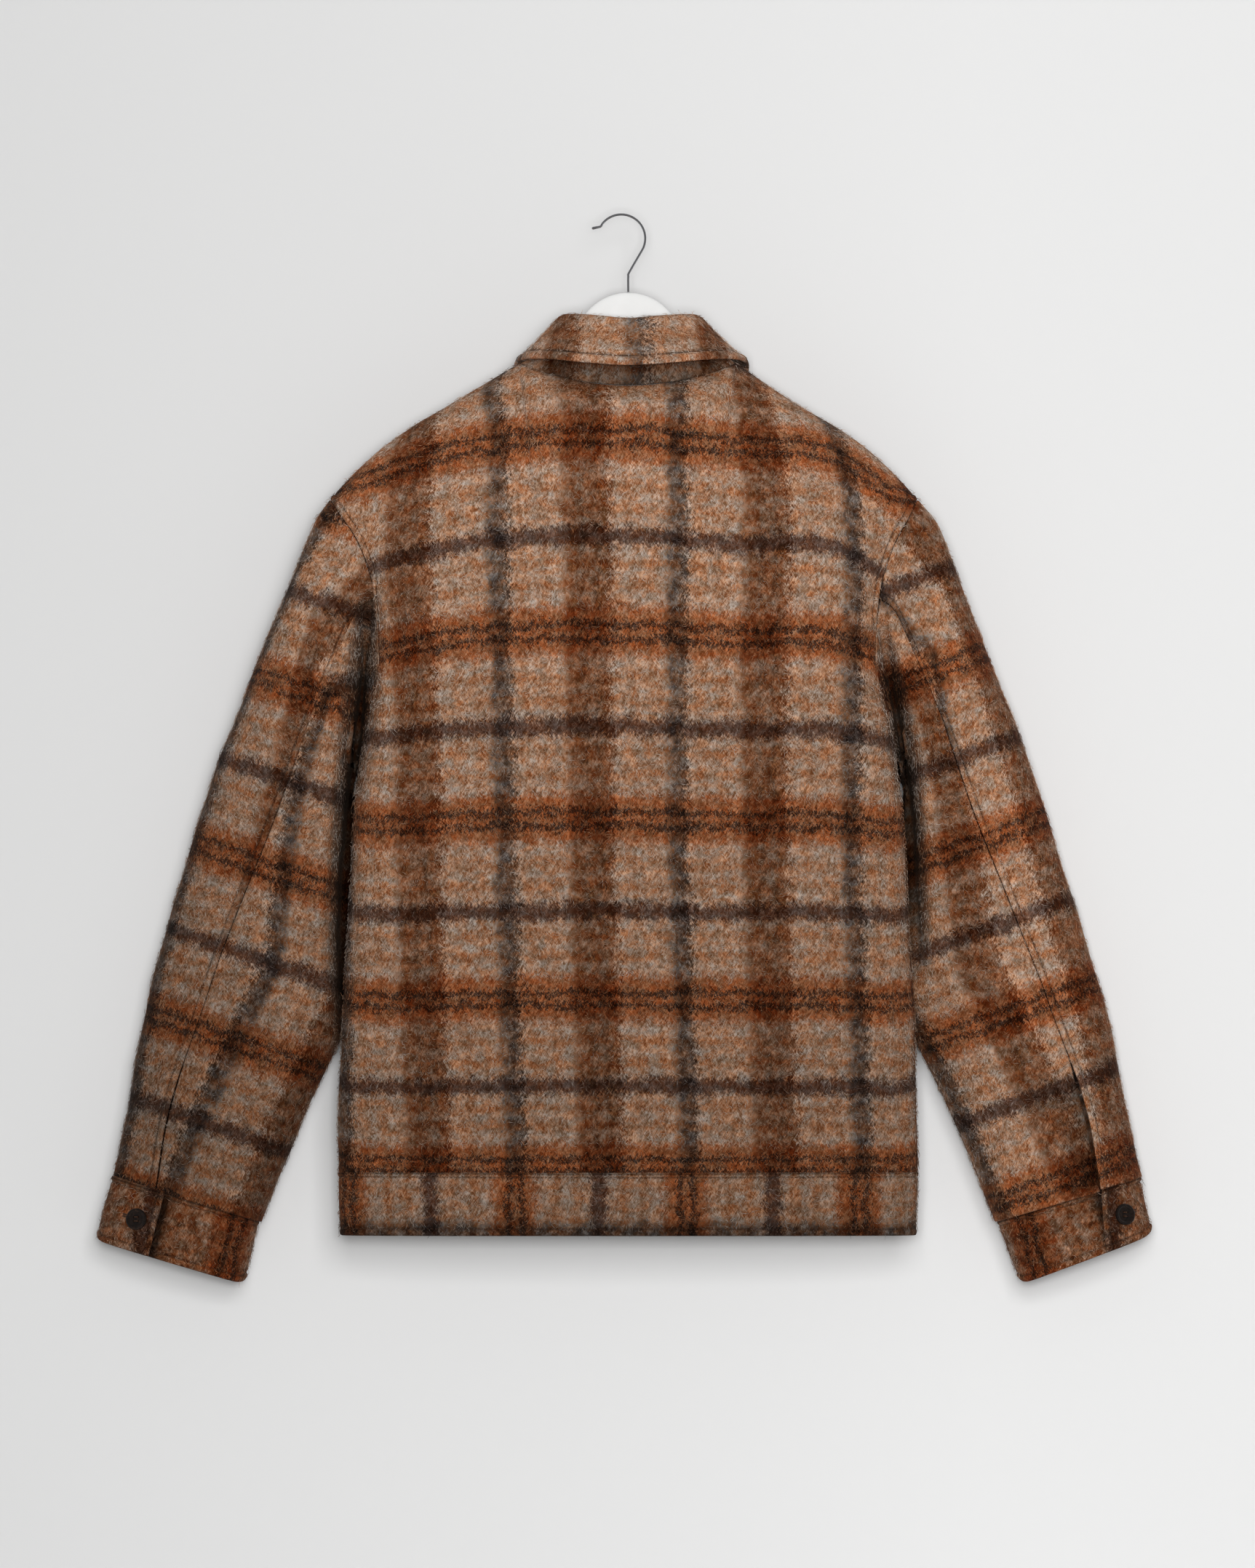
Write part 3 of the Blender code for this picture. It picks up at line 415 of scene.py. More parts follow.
collarCut = {"closer": 0.055, "fallX": 0.0975, "fallY": 0.0770, "bulge": 0.0040, "bulgeTurns": (88, 118),
             "fallRows": 3, "turns": (0, 22.5, 45, 67.5, 90, 102, 116, 131, 146, 160, 172),
             "roll": ((-0.0030, 0.0003), (-0.0030, 0.0045), (-0.0005, 0.0090), (0.0035, 0.0105),
                      (0.0080, 0.0085))}
collarCrest = columns(("turn", "x", "y", "z"), (
    (0, 0.0610, 0.0500, -0.0860), (40, 0.0610, 0.0500, -0.0828), (65, 0.0610, 0.0500, -0.0828),
    (90, 0.0610, 0.0505, -0.0885), (120, 0.0610, 0.0520, -0.1120), (150, 0.0600, 0.0540, -0.1480),
    (172, 0.0580, 0.0560, -0.1720)))
fallBack = columns(("turn", "height"), (
    (0, -0.1252), (27, -0.1226), (46, -0.1198), (67, -0.1192), (90, -0.1205)))
fallFront = columns(("turn", "fraction", "swing", "clear"), (
    (90, 0.385, 0.00, 0.0075), (115, 0.400, 0.30, 0.0090), (140, 0.370, 0.56, 0.0105),
    (172, 0.270, 0.82, 0.0120)))


def neckRing(turns):
    fraction = np.sin(turns) * cut["neckX"] / cut["shoulderX"]
    isBack = (np.abs(turns) <= pi / 2)[:, None]
    return np.where(isBack, topEdge(fraction, True), topEdge(fraction, False))


def standTop(turns):
    # the crest of the roll lies above and outside the stand's top edge
    degrees = np.degrees(np.abs(turns))
    x, y, z = (onCurve(collarCrest, axis, degrees) for axis in "xyz")
    out, up = max(collarCut["roll"], key=lambda step: step[1])
    outward = unit(np.stack((np.sin(turns) / x, -np.cos(turns) / y, 0 * turns), axis=-1))
    points = np.stack((x * np.sin(turns), -y * np.cos(turns), z - up), axis=-1)
    return points - outward * out, outward


def aboveFront(fraction, rise, clear):
    # a point above the front panel, along the panel's normal
    probe = 0.004
    low = np.minimum(rise + probe, 1) - 2 * probe
    along = upperPoint(fraction, low + 2 * probe, False) - upperPoint(fraction, low, False)
    across = upperPoint(fraction + probe, rise, False) - upperPoint(fraction - probe, rise, False)
    return upperPoint(fraction, rise, False) + unit(np.cross(along, across)) * clear[..., None]


def fallEdge(turns):
    degrees = np.degrees(np.abs(turns))
    height = onCurve(fallBack, "height", degrees)
    x, y = collarCut["fallX"] * np.sin(turns), -collarCut["fallY"] * np.cos(turns)
    back = np.stack((x, y, height), axis=-1)
    fraction = onCurve(fallFront, "fraction", degrees) * np.sign(turns)
    rise = (1 - onCurve(fallFront, "swing", degrees) ** cut["arch"]) ** (1 / cut["arch"])
    front = aboveFront(fraction, rise, onCurve(fallFront, "clear", degrees))
    return np.where((np.abs(turns) <= pi / 2)[:, None], back, front)


def collarTurns():
    half = np.radians(collarCut["turns"])
    return np.concatenate((-half[:0:-1], half))


def standForm():
    turns = collarTurns()
    neck, (top, _) = neckRing(turns), standTop(turns)
    return np.array([blend(neck, top, share) for share in np.linspace(0, 1, 4)])


def fallForm():
    turns = collarTurns()
    top, outward = standTop(turns)
    upward = np.array((0, 0, 1))
    roll = [top + outward * out + upward * up for out, up in collarCut["roll"]]
    onFront = softStep(np.abs(turns), *np.radians(collarCut["bulgeTurns"]))[:, None]
    bulge = (outward + upward) * collarCut["bulge"] * onFront
    shares = np.linspace(0, 1, collarCut["fallRows"] + 1)[1:]
    edge = fallEdge(turns)
    return np.array(roll + [blend(roll[-1], edge, s) + bulge * 4 * s * (1 - s) for s in shares])


def refined(rows, down, across):
    # a smooth surface through a coarse grid
    finer = throughRows(rows, np.linspace(0, len(rows) - 1, down))
    turned = finer.swapaxes(0, 1)
    return throughRows(turned, np.linspace(0, len(turned) - 1, across)).swapaxes(0, 1)


# Laying out a panel: points at even steps along its own edges, closer ones beside a stitched edge

sewing = {"stitchAt": 0.0060, "stitchSteps": (0.0030, 0.0045, 0.0054, 0.0060, 0.0066, 0.0078),
          "evenFrom": 0.0100, "ridge": 0.0009, "ridgeAt": 0.0034, "ridgeWidth": 0.0020,
          "groove": 0.0008, "grooveWidth": 0.0008, "stitchLane": 4}  # the lane at stitchAt


def places(length, count, inset, stitched, scale):
    close = np.concatenate(((inset,), np.array(sewing["stitchSteps"]) * scale))
    head, tail = (close if on else np.zeros(0) for on in stitched)
    start, finish = (sewing["evenFrom"] * scale if on else inset for on in stitched)
    even = np.linspace(start, length - finish, count - len(head) - len(tail))
    return np.concatenate((head, even, length - tail[::-1]))


def laidOut(rows, count, inset, stitched, scale):
    # each row keeps what its points carry, and gains their distances from its two ends
    lanes = []
    for row in rows:
        along = lengthAlong(row[:, :3])
        at = places(along[-1], count, inset, stitched, scale)
        carried = [np.interp(at, along, channel) for channel in row.T]
        lanes.append(np.stack(carried + [at, along[-1] - at], axis=-1))
    return np.array(lanes)


def gridNormals(grid, centre):
    normals = unit(np.cross(np.gradient(grid, axis=1), np.gradient(grid, axis=0)))
    return normals * (-1 if np.mean(np.sum(normals * (grid - centre), axis=-1)) < 0 else 1)


def slowWaves(points, size, seed, count=14):
    # uneven swell from a few crossing waves, about -1 to 1
    draw = np.random.default_rng(seed)
    total = np.zeros(points.shape[:-1])
    for _ in range(count):
        direction = unit(draw.normal(size=3)) * 2 * pi / (size * draw.uniform(0.7, 1.6))
        total += np.sin(points @ direction + draw.uniform(0, 2 * pi))
    return total / sqrt(count)


def creaseHeight(points, normals, creases):
    # soft uneven ridges, or troughs where the height is negative
    lift = np.zeros(points.shape[:-1])
    for number, crease in enumerate(creases):
        (topX, topZ), (footX, footZ) = crease["top"], crease["foot"]
        line = np.array((footX - topX, footZ - topZ))
        length = np.linalg.norm(line)
        rel = points[..., (0, 2)] - np.array((topX, topZ))
        down = rel @ line / length ** 2
        away = (rel[..., 0] * line[1] - rel[..., 1] * line[0]) / length
        facing = softStep(-normals[..., 1], -0.1, 0.5)
        uneven = 1 + 0.3 * np.sin(down * 7 + number * 2.1)
        across = np.exp(-(away / crease["width"]) ** 2 - (2 * down - 1) ** 4)
        lift += crease["height"] * uneven * facing * across
    return lift


def seamRelief(distance, swell):
    # the turned seam allowance swells up to the row of stitching, which is pulled in
    ridge = np.exp(-((distance - sewing["ridgeAt"]) / sewing["ridgeWidth"]) ** 2)
    groove = np.exp(-((distance - sewing["stitchAt"]) / sewing["grooveWidth"]) ** 2)
    return (sewing["ridge"] * ridge - sewing["groove"] * groove) * swell, groove


def clothShell(name, outer, normals, thickness, phase, groove):
    # a closed shell with rounded rims; its hidden inner face has every third point
    rows, across = outer.shape[:2]
    rim = [(0, j) for j in range(across)] + [(i, across - 1) for i in range(1, rows)]
    rim += [(rows - 1, j) for j in range(across - 2, -1, -1)] + [(i, 0) for i in range(rows - 2, 0, -1)]
    rimI, rimJ = np.array(rim).T
    outward = np.zeros_like(outer)
    for edge, inside in ((0, 1), (-1, -2)):
        outward[edge] += unit(outer[edge] - outer[inside])
        outward[:, edge] += unit(outer[:, edge] - outer[:, inside])
    edgePoint, edgeNormal = outer[rimI, rimJ], normals[rimI, rimJ]
    away = outward[rimI, rimJ]
    away = unit(away - edgeNormal * np.sum(away * edgeNormal, axis=-1, keepdims=True))
    half = thickness / 2
    loops = [edgePoint - edgeNormal * half * (1 - cos(a)) + away * half * sin(a)
             for a in (pi / 4, pi / 2, 3 * pi / 4)]
    inner = (outer - normals * thickness)[::3, ::3]
    points = np.concatenate([outer.reshape(-1, 3)] + loops + [inner.reshape(-1, 3)])
    rimPhase, rimGroove = phase[rimI, rimJ], groove[rimI, rimJ]
    phases = np.concatenate([phase.reshape(-1, 2)] + [rimPhase] * 3 + [phase[::3, ::3].reshape(-1, 2)])
    grooves = np.concatenate([groove.ravel()] + [rimGroove] * 3 + [groove[::3, ::3].ravel()])

    index = np.arange(rows * across).reshape(rows, across)
    quads = np.stack((index[:-1, :-1], index[:-1, 1:], index[1:, 1:], index[1:, :-1]), axis=-1).reshape(-1, 4)
    faces = quads.tolist()
    rings = [index[rimI, rimJ]] + [rows * across + k * len(rim) + np.arange(len(rim)) for k in range(3)]
    for upper, lower in zip(rings, rings[1:]):
        ahead, below = np.roll(upper, -1), np.roll(lower, -1)
        faces += np.stack((ahead, upper, lower, below), axis=-1).tolist()
    start = rows * across + 3 * len(rim)
    coarse = start + np.arange(inner.shape[0] * inner.shape[1]).reshape(inner.shape[:2])
    lining = np.stack((coarse[1:, :-1], coarse[1:, 1:], coarse[:-1, 1:], coarse[:-1, :-1]), axis=-1)
    faces += lining.reshape(-1, 4).tolist()
    last = rings[-1]
    edge = coarse[rimI[::3] // 3, rimJ[::3] // 3]
    for k in range(len(edge)):
        m = (k + 1) % len(edge)
        around = [int(last[(3 * k + s) % len(last)]) for s in (3, 2, 1, 0)]
        faces.append(around + [int(edge[k]), int(edge[m])])
    if np.cross(outer[1, 1] - outer[1, 0], outer[1, 1] - outer[0, 1]) @ normals[1, 1] < 0:
        faces = [face[::-1] for face in faces]

    data = bpy.data.meshes.new(name)
    data.from_pydata((points + toFrame).tolist(), [], faces)
    data.shade_smooth()
    corner = np.zeros(len(data.loops), dtype=np.int32)
    data.loops.foreach_get("vertex_index", corner)
    data.uv_layers.new(name="check").data.foreach_set("uv", phases[corner].astype(np.float32).ravel())
    # the groove attribute carries the painted shade and light to the material
    data.attributes.new("groove", "FLOAT", "POINT").data.foreach_set("value", grooves.astype(np.float32))
    return placed(name, data)


# Check pattern: where its dark lines lie on each panel, in repeats
# 0 is a dark line and 0.5 the middle of a rust band

repeat = 0.145  # metres of cloth from one dark line to the next
backCheck = {
    "shoulder": 0.020, "lineX": -0.0933,
    "lean": columns(("z", "x"), ((-0.80, 0.0), (-0.50, -0.0095), (-0.19, -0.0125))),
    "lines": ((-0.880, 4.05), (-0.792, 3.5), (-0.7266, 3), (-0.5806, 2), (-0.4262, 1), (-0.2675, 0),
              (-0.184, -0.5), (-0.10, -1.02)),
    "droop": ((-0.852, 0), (-0.7266, 0.003), (-0.581, 0.0055), (-0.426, 0.0116), (-0.2675, 0.0292),
              (-0.184, 0.0320), (-0.10, 0.033)),
    "droopShare": columns(("x", "share"), (
        (-0.2155, 1.0), (-0.136, 0.25), (-0.075, 0.04), (-0.026, 0.0), (0.022, 0.06), (0.083, 0.25),
        (0.188, 0.60), (0.2215, 1.46)))}
sleeveCheck = {
    "slant": (0.3315, -0.9434),
    "left": {"lines": (0.3883, 0.5384, 0.6880, 0.8321), "upper": 0.0160, "under": 0.1000},
    "right": {"lines": (0.3682, 0.5196, 0.6625, 0.8078), "upper": 0.0995, "under": 0.0240}}
bandCheck = {"lines": ((-0.31, -1), (-0.1651, 0), (-0.0240, 1), (0.1207, 2), (0.266, 3)),
             "top": 0.66, "shade": (0.0, 0.14)}
cuffCheck = {"top": 0.40, "drop": 0.20, "shade": 0.90, "shadeReach": 0.0055, "hiddenShade": 0.9}
# the collar's shade is painted light, a little paler where it faces up to the light
collarCheck = {"slow": 0.6, "shade": -0.06, "line": 0.0100, "fall": 0.365, "stand": 0.50,
               "warp": ((0, 0.050), (0.0084, 0.050), (0.0136, 0.070), (0.0695, 0.5), (0.139, 1.0))}


def steadyInterp(at, table):
    # straight between the table's rows, and on past its ends
    xs, ys = np.array(sorted(table)).T
    inside = np.interp(at, xs, ys)
    low, high = ((ys[k + 1] - ys[k]) / (xs[k + 1] - xs[k]) for k in (0, -2))
    return inside + np.minimum(at - xs[0], 0) * low + np.maximum(at - xs[-1], 0) * high


def rowLengths(grid, middle, axes):
    # length of cloth along each row from its middle point, counted in the named axes
    steps = np.linalg.norm(np.diff(grid[..., axes], axis=1), axis=-1)
    along = np.concatenate((np.zeros((len(grid), 1)), np.cumsum(steps, axis=1)), axis=1)
    return along - along[:, middle][:, None]


def bodyPhase(grid, middle, isBack):
    along = rowLengths(grid, middle, (0, 1))
    chestRow = np.argmin(np.abs(grid[:, middle, 2] - cut["chest"]))
    climb = -rowLengths(grid.swapaxes(0, 1), chestRow, (1, 2)).swapaxes(0, 1) + grid[chestRow, :, 2]
    x, z = grid[..., 0], grid[..., 2]
    ease = 1 - 0.05 * softStep(z, -0.45, -0.19)
    leftShoulder = softStep(z, -0.20, -0.12) * softStep(-x, 0.04, 0.10)
    lean = onCurve(backCheck["lean"], "x", z) - backCheck["shoulder"] * leftShoulder
    across = along * ease - backCheck["lineX"] - lean if isBack else along + repeat / 2
    drooping = onCurve(backCheck["droopShare"], "share", x if isBack else -np.abs(x))
    droop = steadyInterp(climb, backCheck["droop"]) * drooping
    return np.stack((across / repeat, steadyInterp(climb + droop, backCheck["lines"])), axis=-1)


def sleevePhase(grid, side, panel):
    # weft lines run square to the sleeve; the warp is counted round from its outer edge, or from the underarm
    down = np.abs(grid[..., 0]) * sleeveCheck["slant"][0] + grid[..., 2] * sleeveCheck["slant"][1]
    lines = sleeveCheck[side]["lines"]
    half = grid.shape[1] // 2
    if panel == "under":
        around = -rowLengths(grid, half, (0, 1, 2))
    else:
        around = rowLengths(grid, 0, (0, 1, 2))
        around[:, half:] -= around[:, -1:]
    u = (around - sleeveCheck[side][panel]) / repeat
    return np.stack((u, steadyInterp(down, list(zip(lines, range(len(lines)))))), axis=-1)


# Materials

def addNode(tree, kind, inputs=(), stops=(), **settings):
    # one node with its settings and links; an input is a value or another node's socket
    node = tree.nodes.new("ShaderNode" + kind)
    for name, value in settings.items():
        setattr(node, name, value)
    for key, value in dict(inputs).items():
        if isinstance(value, bpy.types.NodeSocket):
            tree.links.new(value, node.inputs[key])
        else:
            node.inputs[key].default_value = value
    if stops:
        ramp = node.color_ramp
        while len(ramp.elements) < len(stops):
            ramp.elements.new(1)
        for element, (place, colour) in zip(ramp.elements, stops):
            element.position, element.color = place, colour
    return node


def newMaterial(name, **constants):
    # constants are the shader's own sockets, with _ for a space
    made = bpy.data.materials.new(name)
    made.use_nodes = True
    shader = made.node_tree.nodes["Principled BSDF"]
    for socket, value in constants.items():
        shader.inputs[socket.replace("_", " ")].default_value = value
    return made, made.node_tree, shader


wool = {
    # colours of the hair tips; the weft's are the cloth's own and the warp multiplies them where it crosses
    "weft": {"pale": "#BFA999", "faint": "#AC8262", "rust": "#A8714E", "line": "#46342C", "dark": "#665148"},
    "warp": {"pale": "#FFFFFF", "faint": "#F2E2D2", "rust": "#A5805F", "line": "#8C7664", "dark": "#767A82"},
    # one repeat from dark line to dark line: place and kind, run softly into each other
    "sett": ((0.000, "dark"), (0.030, "dark"), (0.068, "pale"), (0.095, "pale"), (0.135, "faint"),
             (0.180, "pale"), (0.210, "pale"), (0.255, "faint"), (0.300, "pale"), (0.345, "pale"),
             (0.390, "rust"), (0.440, "rust"), (0.458, "line"), (0.474, "line"), (0.492, "rust"),
             (0.514, "rust"), (0.530, "line"), (0.546, "line"), (0.566, "rust"), (0.605, "rust"),
             (0.655, "pale"), (0.700, "pale"), (0.745, "faint"), (0.790, "pale"), (0.820, "pale"),
             (0.865, "faint"), (0.905, "pale"), (0.932, "pale"), (0.970, "dark")),
    # width, length, lean, detail and twist of each unevenness, in metres and radians
    # hairs are drawn coarser than real ones, so that they show
    "grain": {"wander": (0.0140, 0.0140, 0.0, 1.0, 0.0), "blotch": (0.0110, 0.0110, 0.0, 2.0, 0.4),
              "fade": (0.0080, 0.0080, 0.6, 2.0, 0.2), "clump": (0.0034, 0.0052, 0.3, 2.0, 0.6),
              "mottle": (0.0100, 0.0060, 0.0, 2.0, 0.3),
              "leftHair": (0.0010, 0.0040, 0.5, 1.0, 0.4), "rightHair": (0.0011, 0.0036, -0.6, 1.0, 0.4)},
    "wander": 0.010, "fray": 0.014, "gap": "#A98E72", "warm": "#FFE0C6", "cool": "#E2EAF0",
    "wide": {"weft": 1.0, "warp": 1.2}, "sunk": (1.90, 0.10),
    # painted light and shade by place: darker towards the hem and on the left, paler at the top and on the
    # right, as the light falls
    "paintedShadeByHeight": columns(("z", "shade"), ((-0.86, 0.42), (-0.715, 0.35), (-0.60, 0.24), (-0.49, 0.16),
                                       (-0.35, 0.03), (-0.20, -0.10))), "left": 0.24, "right": -0.31}


def settStops(thread):
    # the warp's dark lines are a little wider than the weft's
    wide = wool["wide"][thread]
    stops = []
    for place, kind in wool["sett"]:
        place = place * wide if place < 0.08 else 1 - (1 - place) * wide if place > 0.92 else place
        stops.append((place, linear(wool[thread][kind])))
    return stops


def checkColour(tree, phase, crossing):
    # weft bands, multiplied by the warp's where they cross
    split = addNode(tree, "SeparateXYZ", {0: phase})
    mixed = {0: crossing}
    for axis, thread, socket in (("Y", "weft", 6), ("X", "warp", 7)):
        share = addNode(tree, "Math", {0: split.outputs[axis]}, operation="FRACT")
        mixed[socket] = addNode(tree, "ValToRGB", {0: share.outputs[0]}, settStops(thread)).outputs[0]
    return addNode(tree, "Mix", mixed, data_type="RGBA", blend_type="MULTIPLY").outputs[2]


def paintedShadeTone(tree):
    # painted shade and painted light from the mesh's groove attribute: darker in stitch grooves, hollows and
    # places away from the light, paler in lit places
    groove = addNode(tree, "Attribute", attribute_name="groove").outputs["Fac"]
    pale, dark = wool["sunk"]
    return addNode(tree, "MapRange", {0: groove, 1: -1.0, 2: 1.0, 3: pale, 4: dark}).outputs[0]


def brushedWool():
    # fulled, brushed wool check: matt and hairy, with band edges and crossings blurred by the nap
    made, tree, shader = newMaterial("brushed_wool_check", Roughness=0.95, Specular_IOR_Level=0.12,
                                     Sheen_Weight=0.03, Sheen_Roughness=0.5, Sheen_Tint=linear("#D8C0AC"))
    place = addNode(tree, "TexCoord").outputs["Object"]
    grain = {}
    for name, (width, length, lean, detail, twist) in wool["grain"].items():
        laid = addNode(tree, "Mapping", {0: place, "Rotation": (0, lean, 0), "Scale": (width, width, length)},
                       vector_type="TEXTURE")
        settings = {"Vector": laid.outputs[0], "Scale": 1.0, "Detail": detail, "Distortion": twist}
        grain[name] = addNode(tree, "TexNoise", settings).outputs

    # every hair carries its band's colour a little way across the edge
    phase = addNode(tree, "UVMap", uv_map="check").outputs["UV"]
    for name, reach in (("wander", "wander"), ("leftHair", "fray"), ("rightHair", "fray")):
        step = wool[reach] / repeat
        centred = addNode(tree, "VectorMath", {0: grain[name]["Color"], 1: (0.5, 0.5, 0.5)},
                          operation="SUBTRACT")
        phase = addNode(tree, "VectorMath", {0: centred.outputs[0], 1: (step, step, 0), 2: phase},
                        operation="MULTIPLY_ADD").outputs[0]
    over = addNode(tree, "MapRange", {0: grain["fade"]["Fac"], 1: 0.34, 2: 0.62, 3: 0.60, 4: 1.0})
    check = checkColour(tree, phase, over.outputs[0])

    # depth of the pile: pale tips, warm dark gaps between them and stray hairs paler still, partly the
    # fibres' own colour and partly painted highlight and painted shade
    pile = 0.0
    for name, part in (("leftHair", 0.36), ("rightHair", 0.30), ("clump", 0.34)):
        fibre = {0: grain[name]["Fac"], 1: part, 2: pile}
        pile = addNode(tree, "Math", fibre, operation="MULTIPLY_ADD").outputs[0]
    tip = addNode(tree, "MapRange", {0: pile, 1: 0.40, 2: 0.60}).outputs[0]
    mottle = addNode(tree, "MapRange", {0: grain["mottle"]["Fac"], 1: 0.36, 2: 0.64}).outputs[0]
    colour = check
    for share, start, end in ((tip, wool["gap"], "#FFFFFF"), (mottle, wool["warm"], wool["cool"])):
        tint = addNode(tree, "Mix", {0: share, 6: linear(start), 7: linear(end)}, data_type="RGBA")
        colour = addNode(tree, "Mix", {0: 1.0, 6: colour, 7: tint.outputs[2]}, data_type="RGBA",
                         blend_type="MULTIPLY").outputs[2]
    stray = addNode(tree, "MapRange", {0: pile, 1: 0.52, 2: 0.62, 3: 0.0, 4: 0.34})
    paler = addNode(tree, "Gamma", {0: colour, 1: 0.72})
    colour = addNode(tree, "Mix", {0: stray.outputs[0], 6: colour, 7: paler.outputs[0]},
                     data_type="RGBA").outputs[2]
    blotch = grain["blotch"]["Fac"]
    tone = addNode(tree, "MapRange", {0: blotch, 1: 0.32, 2: 0.68, 3: 0.86, 4: 1.14}).outputs[0]
    tone = addNode(tree, "Math", {0: paintedShadeTone(tree), 1: tone}, operation="MULTIPLY").outputs[0]
    colour = addNode(tree, "VectorMath", {0: colour, "Scale": tone}, operation="SCALE").outputs[0]

    bump = addNode(tree, "Bump", {"Height": pile, "Strength": 0.6, "Distance": 0.0030})
    tree.links.new(colour, shader.inputs["Base Color"])
    tree.links.new(bump.outputs[0], shader.inputs["Normal"])
    return made


nap = {"perMetre": 73500, "hidden": 0.30, "length": (0.0035, 0.0105), "radius": 0.00020, "down": 1.3,
       "rise": (0.0002, 0.0012), "tip": (-0.0002, 0.0018), "bow": 0.22, "thin": (0.95, 0.55),
       "sparseInShade": (0.60, 0.90), "fromFoot": (0.004, 0.010), "rooted": 0.0003}


def raisedNap():
    # hairs brushed out of the same cloth: each keeps its band's colour and the painted shade and light at its
    # root, the thinnest ones paler and greyer
    made, tree, shader = newMaterial("raised_wool_nap", Roughness=0.9, Specular_IOR_Level=0.1)
    check = checkColour(tree, addNode(tree, "UVMap", uv_map="check").outputs["UV"], 0.8)
    place = addNode(tree, "TexCoord").outputs["Object"]
    uneven = addNode(tree, "TexNoise", {"Vector": place, "Scale": 1 / 0.003, "Detail": 1.0}).outputs["Fac"]
    thick, fine = nap["thin"]
    thin = addNode(tree, "MapRange", {0: uneven, 1: 0.35, 2: 0.65, 3: thick, 4: fine})
    colour = addNode(tree, "Gamma", {0: check, 1: thin.outputs[0]})
    colour = addNode(tree, "VectorMath", {0: colour.outputs[0], "Scale": paintedShadeTone(tree)}, operation="SCALE")
    tree.links.new(colour.outputs[0], shader.inputs["Base Color"])
    return made


woolCheck, woolNap = brushedWool(), raisedNap()
print("wool mixed")


# Sewing a panel: lay it out, add its creases and its stitched edges, and close it into a shell

bodyCreases = (
    {"top": (-0.190, -0.250), "foot": (-0.178, -0.350), "width": 0.017, "height": 0.0050},
    {"top": (0.178, -0.290), "foot": (0.204, -0.470), "width": 0.015, "height": 0.0055},
    {"top": (-0.150, -0.640), "foot": (-0.165, -0.760), "width": 0.022, "height": 0.0030},
    {"top": (0.120, -0.660), "foot": (0.128, -0.770), "width": 0.022, "height": 0.0030})
bodyCloth = {"thickness": cut["cloth"]}
collarCloth = {"thickness": cut["collarCloth"]}
stripCloth = {"thickness": cut["bandCloth"], "tuck": (0.0024, 0.0014)}  # its top edge goes so far up and in
# flat is the cut laid flat, alike for a pair: widest row and longest column of the drafted form, before it
# hollows and creases; area is left out for a plain strip
panels = {
    "back": {**bodyCloth, "counts": (322, 232), "stitched": (1, 1, 0, 0), "stitchAbove": -0.345,
             "creases": bodyCreases, "flat": (0.630, 0.698), "area": 0.345},
    "front": {**bodyCloth, "counts": (229, 109), "stitched": (0, 1, 0, 0), "stitchAbove": -0.345,
              "flat": (0.361, 0.696), "area": 0.152},
    "upper": {**bodyCloth, "counts": (232, 88), "stitched": (0, 1, 0, 0), "swell": 1.5,
              "vent": (1, 0.0040, 0.011), "flat": (0.281, 0.602), "area": 0.114},
    "under": {**bodyCloth, "counts": (190, 88), "stitched": (0, 0, 0, 0),
              "vent": (0, -0.0062, 0.024), "flat": (0.259, 0.535), "area": 0.082},
    "band": {**stripCloth, "counts": (34, 232), "stitched": (0, 0, 1, 1), "flat": (0.585, 0.055)},
    "frontBand": {**stripCloth, "counts": (34, 121), "stitched": (0, 0, 1, 1), "flat": (0.251, 0.055)},
    "cuff": {**stripCloth, "counts": (34, 148), "stitched": (0, 1, 1, 1), "swell": 1.4,
             "flat": (0.371, 0.057)},
    "fall": {**collarCloth, "counts": (52, 202), "stitched": (1, 1, 0, 1), "swell": 2.0, "seamScale": 1.5,
             "grooveTone": 0.95, "flat": (0.579, 0.104), "area": 0.0314},
    "stand": {**collarCloth, "counts": (19, 151), "stitched": (0, 0, 0, 0),
              "flat": (0.501, 0.047), "area": 0.0174}}
hang = {"swell": 0.0006, "swellSize": 0.07, "stillEdge": 0.03, "tuckShade": 0.9, "tuckShadeAt": 0.0006,
        "tuckShadeReach": 0.0011, "ventFoot": (0, 0.008), "ventTop": (0.085, 0.120), "ventShade": 0.80}
stitchRows = []


def spindles(name, spine, side, up, radius, sides, material, phase, shade):
    # many fine closed threads in one mesh; each follows its own few points and is pointed at both ends
    count, steps = spine.shape[:2]
    turn = np.linspace(0, 2 * pi, sides + 1)[:-1][None, :, None]
    section = radius * (np.cos(turn) * side[:, None] + np.sin(turn) * up[:, None])
    rings = (spine[:, 1:-1, None] + section[:, None]).reshape(count, -1, 3)
    points = np.concatenate((spine[:, :1], rings, spine[:, -1:]), axis=1)
    each, last = points.shape[1], points.shape[1] - 1
    faces = []
    for k in range(sides):
        m = (k + 1) % sides
        faces += [(0, 1 + m, 1 + k), (last, last - sides + k, last - sides + m)]
        for ring in range(steps - 3):
            a, b = 1 + ring * sides + k, 1 + ring * sides + m
            faces += [(a, b, b + sides), (a, b + sides, a + sides)]
    allFaces = (np.array(faces)[None] + each * np.arange(count)[:, None, None]).reshape(-1, 3)
    piece = meshPiece(name, points.reshape(-1, 3) + toFrame, allFaces.tolist(), material)
    phases = phase[allFaces.ravel() // each].astype(np.float32)
    piece.data.uv_layers.new(name="check").data.foreach_set("uv", phases.ravel())
    # each thread carries the painted shade and light of its root
    tones = np.repeat(shade, each).astype(np.float32)
    piece.data.attributes.new("groove", "FLOAT", "POINT").data.foreach_set("value", tones)


